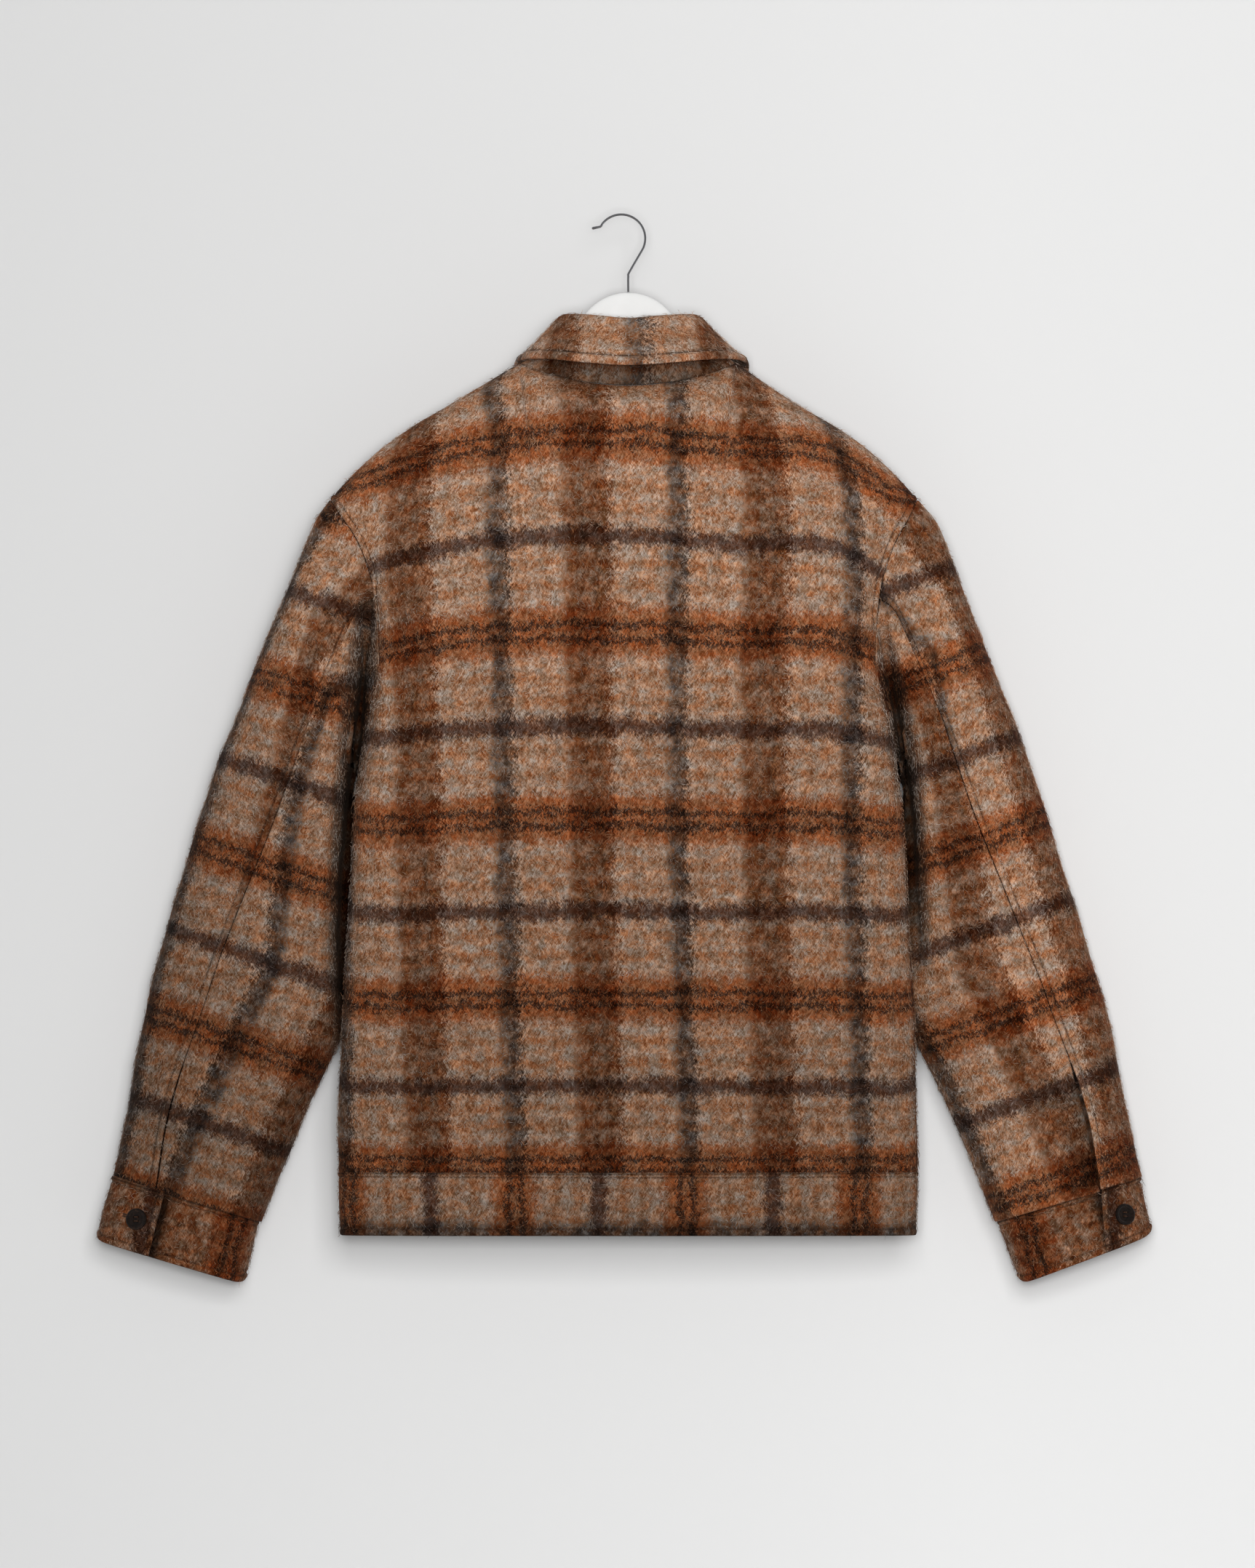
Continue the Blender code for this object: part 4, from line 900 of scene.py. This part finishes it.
def brushUp(name, outer, normals, phase, shade, foot, seed):
    # hairs raised by brushing: bent once, lying mostly downwards, none hanging past the lower edge, and fewer
    # where the painted shade is deep
    draw = np.random.default_rng(seed + 70)
    across, down = outer[:-1, 1:] - outer[:-1, :-1], outer[1:, :-1] - outer[:-1, :-1]
    facing = softStep(-normals[:-1, :-1, 1], -0.3, 0.2)
    lit = blend(nap["hidden"], 1.0, facing) * (1 - softStep(shade[:-1, :-1], *nap["sparseInShade"]))
    lit = lit * softStep(foot[:-1, :-1], *nap["fromFoot"])
    wanted = np.linalg.norm(np.cross(across, down), axis=-1) * lit
    count = int(wanted.sum() * nap["perMetre"])
    cell = draw.choice(wanted.size, count, p=(wanted / wanted.sum()).ravel())
    i, j = np.unravel_index(cell, wanted.shape)
    s, t = draw.uniform(size=(2, count, 1))
    root, up, rootPhase, rootShade = (
        blend(blend(g[i, j], g[i, j + 1], s), blend(g[i + 1, j], g[i + 1, j + 1], s), t)
        for g in (outer, normals, phase, shade[..., None]))
    up = unit(up)
    low = unit(up * up[:, 2:] - np.array((0, 0, 1)))
    turn = draw.normal(0, nap["down"], (count, 1))
    along = low * np.cos(turn) + np.cross(up, low) * np.sin(turn)
    aside = np.cross(up, along)
    length = draw.uniform(*nap["length"], (count, 1))
    bow = draw.uniform(-nap["bow"], nap["bow"], (count, 1)) * length
    rise, tip = draw.uniform(*nap["rise"], (count, 1)), draw.uniform(*nap["tip"], (count, 1))
    spine = np.stack((root - up * nap["rooted"], root + along * length / 2 + aside * bow + up * rise,
                      root + along * length + up * tip), axis=1)
    spindles(name, spine, aside, up, nap["radius"], 3, woolNap, rootPhase, rootShade)


def sew(node, dense, panel, centre, seed, opened=1.0):
    spec = panels[panel]
    name = node + "_cloth"
    thickness, (down, across) = spec["thickness"], spec["counts"]
    inset = (thickness + cut["seam"]) / 2
    left, right, top, bottom = spec["stitched"]
    if "tuck" in spec:
        # the top edge passes a little way under the panel above
        up, into = spec["tuck"]
        tucked = dense[0].copy()
        tucked[:, :3] += up * unit(dense[0, :, :3] - dense[1, :, :3])
        tucked[:, :3] -= into * gridNormals(dense[..., :3], centre)[0]
        dense = np.concatenate((tucked[None], dense))
    scale = spec.get("seamScale", 1.0)
    lanes = laidOut(dense, across, inset, (left, right), scale)
    lanes = laidOut(lanes.swapaxes(0, 1), down, inset, (top, bottom), scale).swapaxes(0, 1)
    grid, phase, shade, edges = lanes[..., :3], lanes[..., 3:5], lanes[..., 5], lanes[..., 6:]
    normals = gridNormals(grid, centre)
    swell = hang["swell"] * slowWaves(grid, hang["swellSize"], seed)
    lift = creaseHeight(grid, normals, spec.get("creases", ())) + swell
    lift = lift * softStep(edges.min(axis=-1), 0, hang["stillEdge"])
    if "tuck" in spec:
        # painted shadow line just below the seam, where the strip passes under the panel above
        below = edges[..., 2] - spec["tuck"][0] - hang["tuckShadeAt"]
        shade = shade + (hang["tuckShade"] - shade) * np.exp(-(below / hang["tuckShadeReach"]) ** 2)
    if "vent" in spec:
        beside, standing, width = spec["vent"]
        height = edges[..., 3]
        slit = softStep(height, *hang["ventFoot"]) * (1 - softStep(height, *hang["ventTop"]))
        slit = slit * opened * np.exp(-(edges[..., beside] / width) ** 2)
        lift = lift + standing * slit
        # painted shade in the hollow beside the open vent's raised edge
        shade = np.maximum(shade, hang["ventShade"] * slit ** 1.5) if standing < 0 else shade
    grid = grid + normals * lift[..., None]
    normals = gridNormals(grid, centre)
    raised, groove = np.zeros(grid.shape[:-1]), np.zeros(grid.shape[:-1])
    stitchFrom = spec.get("stitchAbove", -2)
    for on, distance in zip(spec["stitched"], np.moveaxis(edges, -1, 0)):
        if on:
            shown = softStep(grid[..., 2], stitchFrom - 0.01, stitchFrom + 0.01)
            shown = shown * np.clip(0.75 + 0.3 * slowWaves(grid, 0.03, seed + 40), 0.3, 1.2)
            relief, line = seamRelief(distance / scale, spec.get("swell", 1.0))
            raised, groove = raised + relief * shown, np.maximum(groove, line * shown)
    outer = grid + normals * raised[..., None]
    first, last = sewing["stitchLane"], -1 - sewing["stitchLane"]
    for on, lane in zip(spec["stitched"], (np.s_[:, first], np.s_[:, last], np.s_[first], np.s_[last])):
        if on:
            shown = grid[lane][:, 2] > stitchFrom
            stitchRows.append((outer[lane][shown], normals[lane][shown]))
    brushUp(node + "_nap", outer, normals, phase, shade, edges[..., 3], seed)
    # painted shade in the stitch grooves, laid over the other painted shade and light
    tone = shade + (1 - shade) * spec.get("grooveTone", 0.6) * groove
    piece = clothShell(name, outer, normals, thickness, phase, tone)
    piece.data.materials.append(woolCheck)
    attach(piece, "root")
    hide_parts(node)


def withPhase(grid, phase, shade=0.0):
    # painted light and shade by place: darker towards the hem and on the left, paler at the top and on the
    # right, as the light falls
    x, z = grid[..., 0], grid[..., 2]
    shade = shade + onCurve(wool["paintedShadeByHeight"], "shade", z) + wool["left"] * softStep(-x, 0.20, 0.42)
    shade = np.minimum(shade + wool["right"] * softStep(x, 0.22, 0.34), 1)
    return np.concatenate((grid, phase, np.broadcast_to(shade, grid.shape[:2])[..., None]), axis=-1)


archRows = cut["archRows"]
bodyRows = np.concatenate((
    archRows * np.linspace(0, 1, 140)[:-1] ** 1.8, np.linspace(archRows, underarmRow, 60)[:-1],
    np.linspace(underarmRow, lastRow, 100)))
backAcross = np.linspace(-1, 1, 601)
frontAcross = np.linspace(-cut["overlap"] / cut["shoulderX"], 1, 401)
bodyCentre = np.array((0, 0, -0.585))


def bodyDense(across, isBack):
    return np.array([bodyRow(across, row, isBack) for row in bodyRows])


def liftedFront(grid, side):
    # the right front passes over the left one along the middle
    normals = gridNormals(grid, bodyCentre)
    over = cut["lift"] * (1 - softStep(grid[..., 0], cut["liftTo"], cut["liftFrom"])) * (side > 0)
    return mirrored(grid + normals * over[..., None], side)


back = bodyDense(backAcross, True)
turned, armShade = turnedIn(back, True)
sunken, neckShade = dipped(turned)
backPhase = bodyPhase(back, len(backAcross) // 2, True)
shaped = withPhase(drawnOut(sunken), backPhase, np.maximum(armShade, neckShade))
sew("back", shaped, "back", bodyCentre, 1)
front = bodyDense(frontAcross, False)
frontMiddle = int(np.argmin(np.abs(frontAcross)))
frontPhase = bodyPhase(front, frontMiddle, False)
for name, side in (("left", -1), ("right", 1)):
    turned, armShade = turnedIn(liftedFront(front, side), True)
    shaped = withPhase(drawnOut(turned), frontPhase * np.array((side, 1)), armShade)
    sew(f"front_{name}", shaped, "front", bodyCentre, 2 + side)
print("body sewn")

sleeveColumns = np.linspace(0, 2 * underarmRow, 441)
sleeveDense = throughRows(sleeveForm(sleeveColumns), np.linspace(0, sleeveRings["ring"][-1], 300))
backSeam, frontSeam = (int(sleeveCut[seam] * 20) for seam in ("backSeam", "frontSeam"))
upperColumns = np.concatenate((np.arange(frontSeam, 440), np.arange(backSeam + 1)))
underColumns = np.arange(backSeam, frontSeam + 1)
ventOpened = {"left": 0.30, "right": 1.0}  # the right sleeve's vent stands open
for name, side in (("left", -1), ("right", 1)):
    turned, armShade = turnedIn(mirrored(sleeveDense, side), False)
    middle = turned.mean(axis=(0, 1))
    for panel, chosen in (("upper", upperColumns), ("under", underColumns)):
        shaped = withPhase(drawnOut(turned), sleevePhase(sleeveDense, name, panel), armShade)[:, chosen]
        sew(f"sleeve_{panel}_{name}", shaped, panel, middle, 5 + side, ventOpened[name])
print("sleeves sewn")


# strips are cut across the cloth, so that its dark weft lines stand upright
bandHeights = np.linspace(cut["bandSeam"], cut["hem"], 40)
stretches = (("back", backAcross, 1), ("front_left", frontAcross, -1), ("front_right", frontAcross, 1))
for name, across, side in stretches:
    isBack = name == "back"
    turns = ringTurns(across, isBack)
    grid = np.array([bodyRing(np.full(len(turns), height), turns) for height in bandHeights])
    along = rowLengths(grid, int(np.argmin(np.abs(across))), (0, 1))
    lines = steadyInterp(along, bandCheck["lines"]) if isBack else along / repeat * side + 0.5
    phase = np.stack((bandCheck["top"] + (cut["bandSeam"] - grid[..., 2]) / repeat, lines), axis=-1)
    shaped = grid if isBack else liftedFront(grid, side)
    # painted shade, darker towards the hem edge where the band curves under
    shade = np.interp(shaped[..., 2], (cut["hem"], cut["bandSeam"]), bandCheck["shade"][::-1])
    sew(f"hem_band_{name}", withPhase(shaped, phase, shade), "band" if isBack else "frontBand",
        np.array((0, 0, cut["hem"])), 8)
print("hem band sewn")

for name in ("left", "right"):
    cuff = cuffCut[name]
    turns = np.linspace(cuff["end"] - cuffCut["lap"], 2 * pi + cuff["end"], 441)
    grid = refined(cuffForm(turns, cuff), 30, 441)
    aside = np.abs(grid[15, :, 0] - cuff["darkX"]) + 10 * (np.abs(turns - 2 * pi - pi / 4) > pi / 4)
    along = rowLengths(grid, int(np.argmin(aside)), (0, 1, 2))
    # the lower layer's check meets the upper one's at the buttoned end
    underEnd = int(np.argmin(np.abs(turns - cuff["end"])))
    once = along[:, -1] - along[:, underEnd]
    onUnder = 1 - softStep(turns, radians(200), radians(340))
    ease = (once - repeat * np.round(once[15] / repeat))[:, None] * onUnder
    # painted shadow on the lower layer beside the buttoned end and painted shade under it, with each cuff's
    # own offset to the painted shade by place
    past = along - along[:, underEnd][:, None]
    beside = cuffCheck["shade"] * np.exp(-(past / cuffCheck["shadeReach"]) ** 2)
    shade = np.where(turns < cuff["end"], cuffCheck["hiddenShade"], beside)
    shade = np.where(turns < pi, shade, 0) + cuff["paintedShadeOffset"]
    downPhase = cuffCheck["top"] + np.linspace(0, cuffCheck["drop"], 30)[:, None] + 0 * along
    checked = np.stack((downPhase, (along + ease) / repeat), axis=-1)
    shaped = drawnOut(mirrored(grid, cuff["side"]))
    sew(f"cuff_{name}", withPhase(shaped, checked, shade), "cuff", shaped.mean(axis=(0, 1)), 9)
print("cuffs sewn")

stand, standShade = dipped(refined(standForm(), 20, 401))
fall = refined(fallForm(), 60, 401)
# its left end stands a little closer in, as in the photograph
stand[..., 0] *= 1 - collarCut["closer"] * np.linspace(0, 1, 20)[:, None] * softStep(-stand[..., 0], 0, 0.05)
fall[..., 0] *= 1 - collarCut["closer"] * softStep(-fall[..., 0], 0, 0.05)
for name, grid, shade, centre in (("stand", stand, standShade, np.array((0, 0, -0.142))),
                                  ("fall", fall, collarCheck["shade"], np.array((0, 0, -0.30)))):
    along = rowLengths(grid, 200, (0, 1)) - collarCheck["line"]
    drop = rowLengths(grid.swapaxes(0, 1), len(grid) - 1, (0, 1, 2)).swapaxes(0, 1) / repeat
    warp = np.sign(along) * steadyInterp(np.abs(along), collarCheck["warp"])
    phase = np.stack((warp, drop * collarCheck["slow"] + collarCheck[name]), axis=-1)
    sew(f"collar_{name}", withPhase(grid, phase, shade), name, centre, 12)
print("collar sewn")


# Small hard pieces

def ringFaces(rings, sides):
    # walls between rings of points, and a cap on the first and the last ring
    faces = []
    for i in range(rings - 1):
        for k in range(sides):
            m = (k + 1) % sides
            faces.append((i * sides + k, i * sides + m, (i + 1) * sides + m, (i + 1) * sides + k))
    return faces + [tuple(range(sides))[::-1], tuple((rings - 1) * sides + k for k in range(sides))]


def sweep(path, radii, sides=20):
    # round section carried along a path that lies in the plane y = 0
    path = np.asarray(path)
    along = unit(np.gradient(path, axis=0))
    depth = np.array((0, 1, 0))
    across = unit(np.cross(depth, along))
    turn = np.linspace(0, 2 * pi, sides + 1)[:-1]
    rings = [p + r * (np.outer(np.cos(turn), a) + np.outer(np.sin(turn), depth))
             for p, r, a in zip(path, radii, across)]
    return np.concatenate(rings), ringFaces(len(path), sides)


button = {"radius": 0.0090, "thick": 0.0032, "rim": 0.0022, "dish": 0.0007, "hole": 0.0010, "holeAt": 0.0017,
          "holeDepth": 0.0018, "thread": 0.00045, "sides": 64,
          "frontHeights": (-0.232, -0.346, -0.460, -0.574, -0.688, -0.826)}


def polishedHorn():
    # dark buffalo horn, turned and polished: near black with brown streaks, soft gloss
    made, tree, shader = newMaterial("polished_dark_horn", IOR=1.54, Specular_IOR_Level=0.25)
    place = addNode(tree, "TexCoord").outputs["Object"]
    streak = addNode(tree, "TexNoise",
                     {"Vector": place, "Scale": 1 / 0.006, "Detail": 3.0, "Distortion": 2.5})
    colour = addNode(tree, "ValToRGB", {0: streak.outputs["Fac"]},
                     ((0.35, linear("#0E0A08")), (0.60, linear("#1B120E")), (0.72, linear("#33241B"))))
    rough = addNode(tree, "MapRange", {0: streak.outputs["Fac"], 1: 0.3, 2: 0.7, 3: 0.34, 4: 0.48})
    tree.links.new(colour.outputs[0], shader.inputs["Base Color"])
    tree.links.new(rough.outputs[0], shader.inputs["Roughness"])
    return made


def sewingThread():
    # dull spun sewing thread, dark brown
    made, tree, shader = newMaterial("brown_sewing_thread", Roughness=0.85)
    place = addNode(tree, "TexCoord").outputs["Object"]
    ply = addNode(tree, "TexNoise", {"Vector": place, "Scale": 1 / 0.0012, "Detail": 2.0})
    colour = addNode(tree, "ValToRGB", {0: ply.outputs["Fac"]},
                     ((0.35, linear("#2B1B13")), (0.65, linear("#4A3122"))))
    tree.links.new(colour.outputs[0], shader.inputs["Base Color"])
    return made


horn, thread = polishedHorn(), sewingThread()


def makeButton(name, seat, normal):
    radius, thick, sides = button["radius"], button["thick"], button["sides"]
    floor = thick - button["dish"]
    inside = radius - button["rim"]
    profile = [(r, floor) for r in np.linspace(0.0002, inside - 0.0006, 22)]
    profile += [(inside - 0.0002, floor + 0.0002), (inside + 0.0003, thick - 0.0001),
                (inside + 0.0008, thick), (radius - 0.0008, thick), (radius - 0.0003, thick - 0.0003),
                (radius, thick - 0.0009), (radius, 0.0009), (radius - 0.0003, 0.0003), (radius - 0.0009, 0.0)]
    turn = np.linspace(0, 2 * pi, sides + 1)[:-1]
    rings = []
    for r, z in profile:
        ring = np.stack((r * np.cos(turn), r * np.sin(turn), 0 * turn + z), axis=-1)
        for x, y in ((1, 1), (1, -1), (-1, 1), (-1, -1)):
            away = np.hypot(ring[:, 0] - x * button["holeAt"], ring[:, 1] - y * button["holeAt"])
            hole = 1 - softStep(away, button["hole"] * 0.7, button["hole"])
            ring[:, 2] -= button["holeDepth"] * hole * (z >= floor)
        rings.append(ring)
    turnTo = np.array(Vector(normal).to_track_quat("Z", "Y").to_matrix()).T
    base = np.asarray(seat) + np.asarray(normal) * cut["seam"] + toFrame
    meshPiece(name + "_horn", np.concatenate(rings) @ turnTo + base, ringFaces(len(profile), sides),
              horn, name)
    # thread lies in two bars between the holes
    x = np.linspace(-1, 1, 13)
    path = np.stack((x * button["holeAt"], 0 * x, floor + 0.0004 - 0.0016 * np.abs(x) ** 6), axis=-1)
    bar, walls = sweep(path, np.full(len(x), button["thread"]), 8)
    bars = np.concatenate([bar + np.array((0, y * button["holeAt"], 0)) for y in (-1, 1)])
    walls = walls + [tuple(i + len(bar) for i in face) for face in walls]
    meshPiece(name + "_thread", bars @ turnTo + base, walls, thread)


for name in ("left", "right"):
    cuff = cuffCut[name]
    turns = 2 * pi + cuff["button"] + np.array((-0.02, 0, 0.02))
    near = cuffForm(turns, cuff)
    normal = unit(np.cross(near[1, 2] - near[1, 0], near[2, 1] - near[0, 1]))
    normal = normal if normal[1] < 0 else -normal
    makeButton(f"cuff_button_{name}", mirrored(near[1, 1], cuff["side"]), mirrored(normal, cuff["side"]))
for number, height in enumerate(button["frontHeights"], 1):
    if height > cut["chest"]:
        rise = (height - cut["chest"]) / (cut["frontNeck"] - cut["chest"])
        seat = upperPoint(np.array(0.0), rise, False)
    else:
        seat = bodyRing(np.array(height), np.array(pi))
    makeButton(f"front_button_{number}", seat + np.array((0, cut["lift"], 0)), np.array((0, 1, 0)))
print("buttons sewn on")

stitch = {"pitch": 0.0036, "length": 0.0029, "radius": 0.00026, "above": 0.0001, "shares": (0, 0.25, 0.75, 1)}
buttonhole = {"from": 0.0070, "to": 0.0140, "lips": 0.0009, "radius": 0.0008, "above": 0.0006}


def makeStitches():
    # one row of short threads along every stitched edge
    spines, sides, ups = [], [], []
    for row, normals in stitchRows:
        along = lengthAlong(row)
        starts = np.arange(0, along[-1] - stitch["length"], stitch["pitch"])
        places = [starts + share * stitch["length"] for share in stitch["shares"]]
        parts = [np.stack([np.interp(at, along, axis) for axis in row.T], axis=-1) for at in places]
        up = np.stack([np.interp(starts, along, axis) for axis in normals.T], axis=-1)
        lift = np.array((-1.5, 1, 1, -1.5))[:, None, None] * stitch["above"] * up
        spines.append((np.array(parts) + lift).swapaxes(0, 1))
        ups.append(up)
        sides.append(unit(np.cross(parts[3] - parts[0], up)))
    spine, side, up = (np.concatenate(rows) for rows in (spines, sides, ups))
    plain = np.zeros(len(spine))
    spindles("topstitch_thread", spine, side, up, stitch["radius"], 4, thread,
             np.stack((plain, plain), axis=-1), plain)
    print(len(spine), "stitches")


def makeButtonhole(name):
    # two stitched lips that show beside the button, on its outer side
    cuff = cuffCut[name]
    turns = 2 * pi + cuff["button"] - np.linspace(0, 0.6, 200)
    lower, ring, upper = cuffForm(turns, cuff)
    along = lengthAlong(ring)
    chosen = np.searchsorted(along, np.linspace(buttonhole["from"], buttonhole["to"], 10))
    path, across = ring[chosen], unit(upper - lower)[chosen]
    up = unit(np.cross(np.gradient(path, axis=0), across))
    up = up * -np.sign(up[:, 1:2])
    path = path + up * buttonhole["above"]
    lips = [mirrored(path + across * lip * buttonhole["lips"], cuff["side"]) for lip in (-1, 1)]
    aside, up = (np.repeat(mirrored(v[:1], cuff["side"]), 2, axis=0) for v in (across, up))
    spindles(f"buttonhole_{name}_thread", np.array(lips), aside, up, buttonhole["radius"], 8, thread,
             np.zeros((2, 2)), np.zeros(2))


makeStitches()
for name in ("left", "right"):
    makeButtonhole(name)


hanger = {"domeTop": -0.064, "domeRadius": 0.045, "domeReach": 0.036, "armEnd": 0.206, "armHeight": 0.027,
          "domeHeight": 0.054, "tip": 24, "thick": 0.011, "clear": 0.0006, "sides": 48, "steps": 200}
hangerNeck = columns(("across", "height"), (
    (0.0360, -0.0820), (0.0470, -0.0965), (0.0585, -0.1080), (0.0750, -0.1195), (0.0900, -0.1270)))


def mouldedPlastic():
    # white moulded polystyrene: even, slightly satin, a faint haze of fine moulding texture
    made, tree, shader = newMaterial("white_moulded_plastic", IOR=1.59)
    place = addNode(tree, "TexCoord").outputs["Object"]
    haze = addNode(tree, "TexNoise", {"Vector": place, "Scale": 1 / 0.02, "Detail": 3.0})
    colour = addNode(tree, "ValToRGB", {0: haze.outputs["Fac"]},
                     ((0.3, linear("#EAEAE9")), (0.7, linear("#F0F0EF"))))
    rough = addNode(tree, "MapRange", {0: haze.outputs["Fac"], 1: 0.3, 2: 0.7, 3: 0.36, 4: 0.46})
    tree.links.new(colour.outputs[0], shader.inputs["Base Color"])
    tree.links.new(rough.outputs[0], shader.inputs["Roughness"])
    return made


def hangerTop(across):
    across = abs(across)
    if across <= hanger["domeReach"]:
        return hanger["domeTop"] - hanger["domeRadius"] + sqrt(hanger["domeRadius"] ** 2 - across ** 2)
    if across <= cut["neckX"]:
        return float(onCurve(hangerNeck, "height", across))
    probe = 0.002
    heights = onCurve(shoulderSeam, "height", across + np.array((-probe, 0, probe)))
    before, here, after = heights.tolist()
    slope = (after - before) / (2 * probe)
    return here - (cut["cloth"] + hanger["clear"]) * sqrt(1 + slope ** 2)


def makeHanger():
    turn = np.linspace(0, 2 * pi, hanger["sides"] + 1)[:-1]
    rings = []
    for share in np.linspace(-1, 1, hanger["steps"] + 1)[1:-1]:
        across = hanger["armEnd"] * share
        full = sqrt(1 - abs(share) ** hanger["tip"])
        outward = float(softStep(abs(across), 0, cut["neckX"]))
        height = blend(hanger["domeHeight"], hanger["armHeight"], outward)
        y, z = full * hanger["thick"] / 2 * np.cos(turn), full * height / 2 * np.sin(turn)
        rings.append(np.stack((0 * turn + across, y, z + hangerTop(across) - height / 2), axis=-1))
    meshPiece("hanger_moulding", np.concatenate(rings) + toFrame, ringFaces(len(rings), hanger["sides"]),
              mouldedPlastic(), "hanger_body")


hook = {"wire": 0.0026, "drawn": 0.0020, "radius": 0.0200, "from": radians(150), "to": radians(-30),
        "tip": (-0.0075, -0.0018), "bend": -0.0486, "bendLength": 0.0022, "flare": 1.25}


def chromePlate():
    # bright chrome on drawn steel wire: mirror-like, with faint draw lines along it
    made, tree, shader = newMaterial("chrome_plated_wire", Base_Color=linear("#B4B4B8"), Metallic=1.0)
    place = addNode(tree, "TexCoord").outputs["Object"]
    draw = addNode(tree, "TexNoise", {"Vector": place, "Scale": 1 / 0.002, "Detail": 2.0})
    rough = addNode(tree, "MapRange", {0: draw.outputs["Fac"], 1: 0.3, 2: 0.7, 3: 0.10, 4: 0.20})
    tree.links.new(rough.outputs[0], shader.inputs["Roughness"])
    return made


def makeHook():
    arcTurns = np.linspace(hook["from"], hook["to"], 25)
    arc = np.stack((hook["radius"] * np.cos(arcTurns) - jacketMiddle, 0 * arcTurns,
                    hook["radius"] * np.sin(arcTurns) + hook["wire"] / 2 - hook["radius"]), axis=-1)
    tip = arc[0] + np.array((hook["tip"][0], 0, hook["tip"][1]))
    bend = np.array((0, 0, hook["bend"]))
    towards = unit(arc[-1] - bend)
    foot = np.array((0, 0, hanger["domeTop"] + cut["seam"]))
    below = bend - np.array((0, 0, hook["bendLength"]))
    coarse = np.array([tip, blend(tip, arc[0], 0.5), *arc, bend + towards * hook["bendLength"], below, foot])
    path = throughRows(coarse[:, None, :], np.linspace(0, len(coarse) - 1, 220))[:, 0]
    along = lengthAlong(path)
    flared = hook["drawn"] / 2 * (1 + (hook["flare"] - 1) * (1 - softStep(along, 0.001, 0.007)))
    rounded = np.sqrt(np.clip(1 - np.clip(1 - along / (hook["wire"] * 0.6), 0, 1) ** 2, 0.02, 1))
    points, faces = sweep(path, flared * rounded)
    meshPiece("hook_wire", points + toFrame, faces, chromePlate(), "hanger_hook")


makeHanger()
makeHook()
print("hanger and hook made")


# Stage: a pale wall close behind, a pale floor, soft light from in front, a little above and to the right

# the wall's left and right colours are painted shade, greyer to the left where less light falls
stage = {"wallY": 0.093, "floorZ": -1.32, "half": 3, "aim": (0, 0, -0.45),
         "left": "#D0D0D0", "right": "#DFDFDF"}


def stagePlane(name, corners, material):
    data = bpy.data.meshes.new(name)
    data.from_pydata(corners, [], [(0, 1, 2, 3)])
    data.materials.append(material)
    placed(name, data)


def paintedWall():
    # matt emulsion paint, with painted shade greyer to the left where less light falls; seen from its front
    # only
    made, tree, shader = newMaterial("matt_wall_paint", Roughness=0.9, Specular_IOR_Level=0.1)
    place = addNode(tree, "TexCoord").outputs["Object"]
    across = addNode(tree, "SeparateXYZ", {0: place}).outputs["X"]
    share = addNode(tree, "MapRange", {0: across, 1: -0.55, 2: 0.30})
    colour = addNode(tree, "ValToRGB", {0: share.outputs[0]},
                     ((0, linear(stage["left"])), (1, linear(stage["right"]))))
    tree.links.new(colour.outputs[0], shader.inputs["Base Color"])
    behind = addNode(tree, "NewGeometry").outputs["Backfacing"]
    clear = addNode(tree, "BsdfTransparent")
    shown = addNode(tree, "MixShader", {0: behind, 1: shader.outputs[0], 2: clear.outputs[0]})
    tree.links.new(shown.outputs[0], tree.nodes["Material Output"].inputs["Surface"])
    return made


def squareLight(name, place, size, power):
    data = bpy.data.lights.new(name, "AREA")
    data.shape, data.size, data.energy = "SQUARE", size, power
    light = placed(name, data)
    light.location = place
    light.rotation_euler = (Vector(stage["aim"]) - Vector(place)).to_track_quat("-Z", "Y").to_euler()
    light.visible_glossy = False  # the chrome stays dark


wallPaint = paintedWall()
wallY, floorZ, half = stage["wallY"], stage["floorZ"], stage["half"]
wallCorners = [(-half, wallY, floorZ), (half, wallY, floorZ), (half, wallY, 2), (-half, wallY, 2)]
floorCorners = [(-half, -4, floorZ), (half, -4, floorZ), (half, 4, floorZ), (-half, 4, floorZ)]
stagePlane("wall", wallCorners, wallPaint)
stagePlane("floor", floorCorners, wallPaint)
squareLight("key", (0.7, -12, 1.1), 3.4, 720)
squareLight("fill", (0, -12, -0.4), 1.4, 580)
world = bpy.data.worlds.new("soft_room")
world.use_nodes = True
room = world.node_tree.nodes["Background"]
room.inputs["Color"].default_value = linear("#F4F4F2")
room.inputs["Strength"].default_value = 0.24
bpy.context.scene.world = world
bpy.context.scene.view_settings.view_transform = "Standard"
print("stage lit")
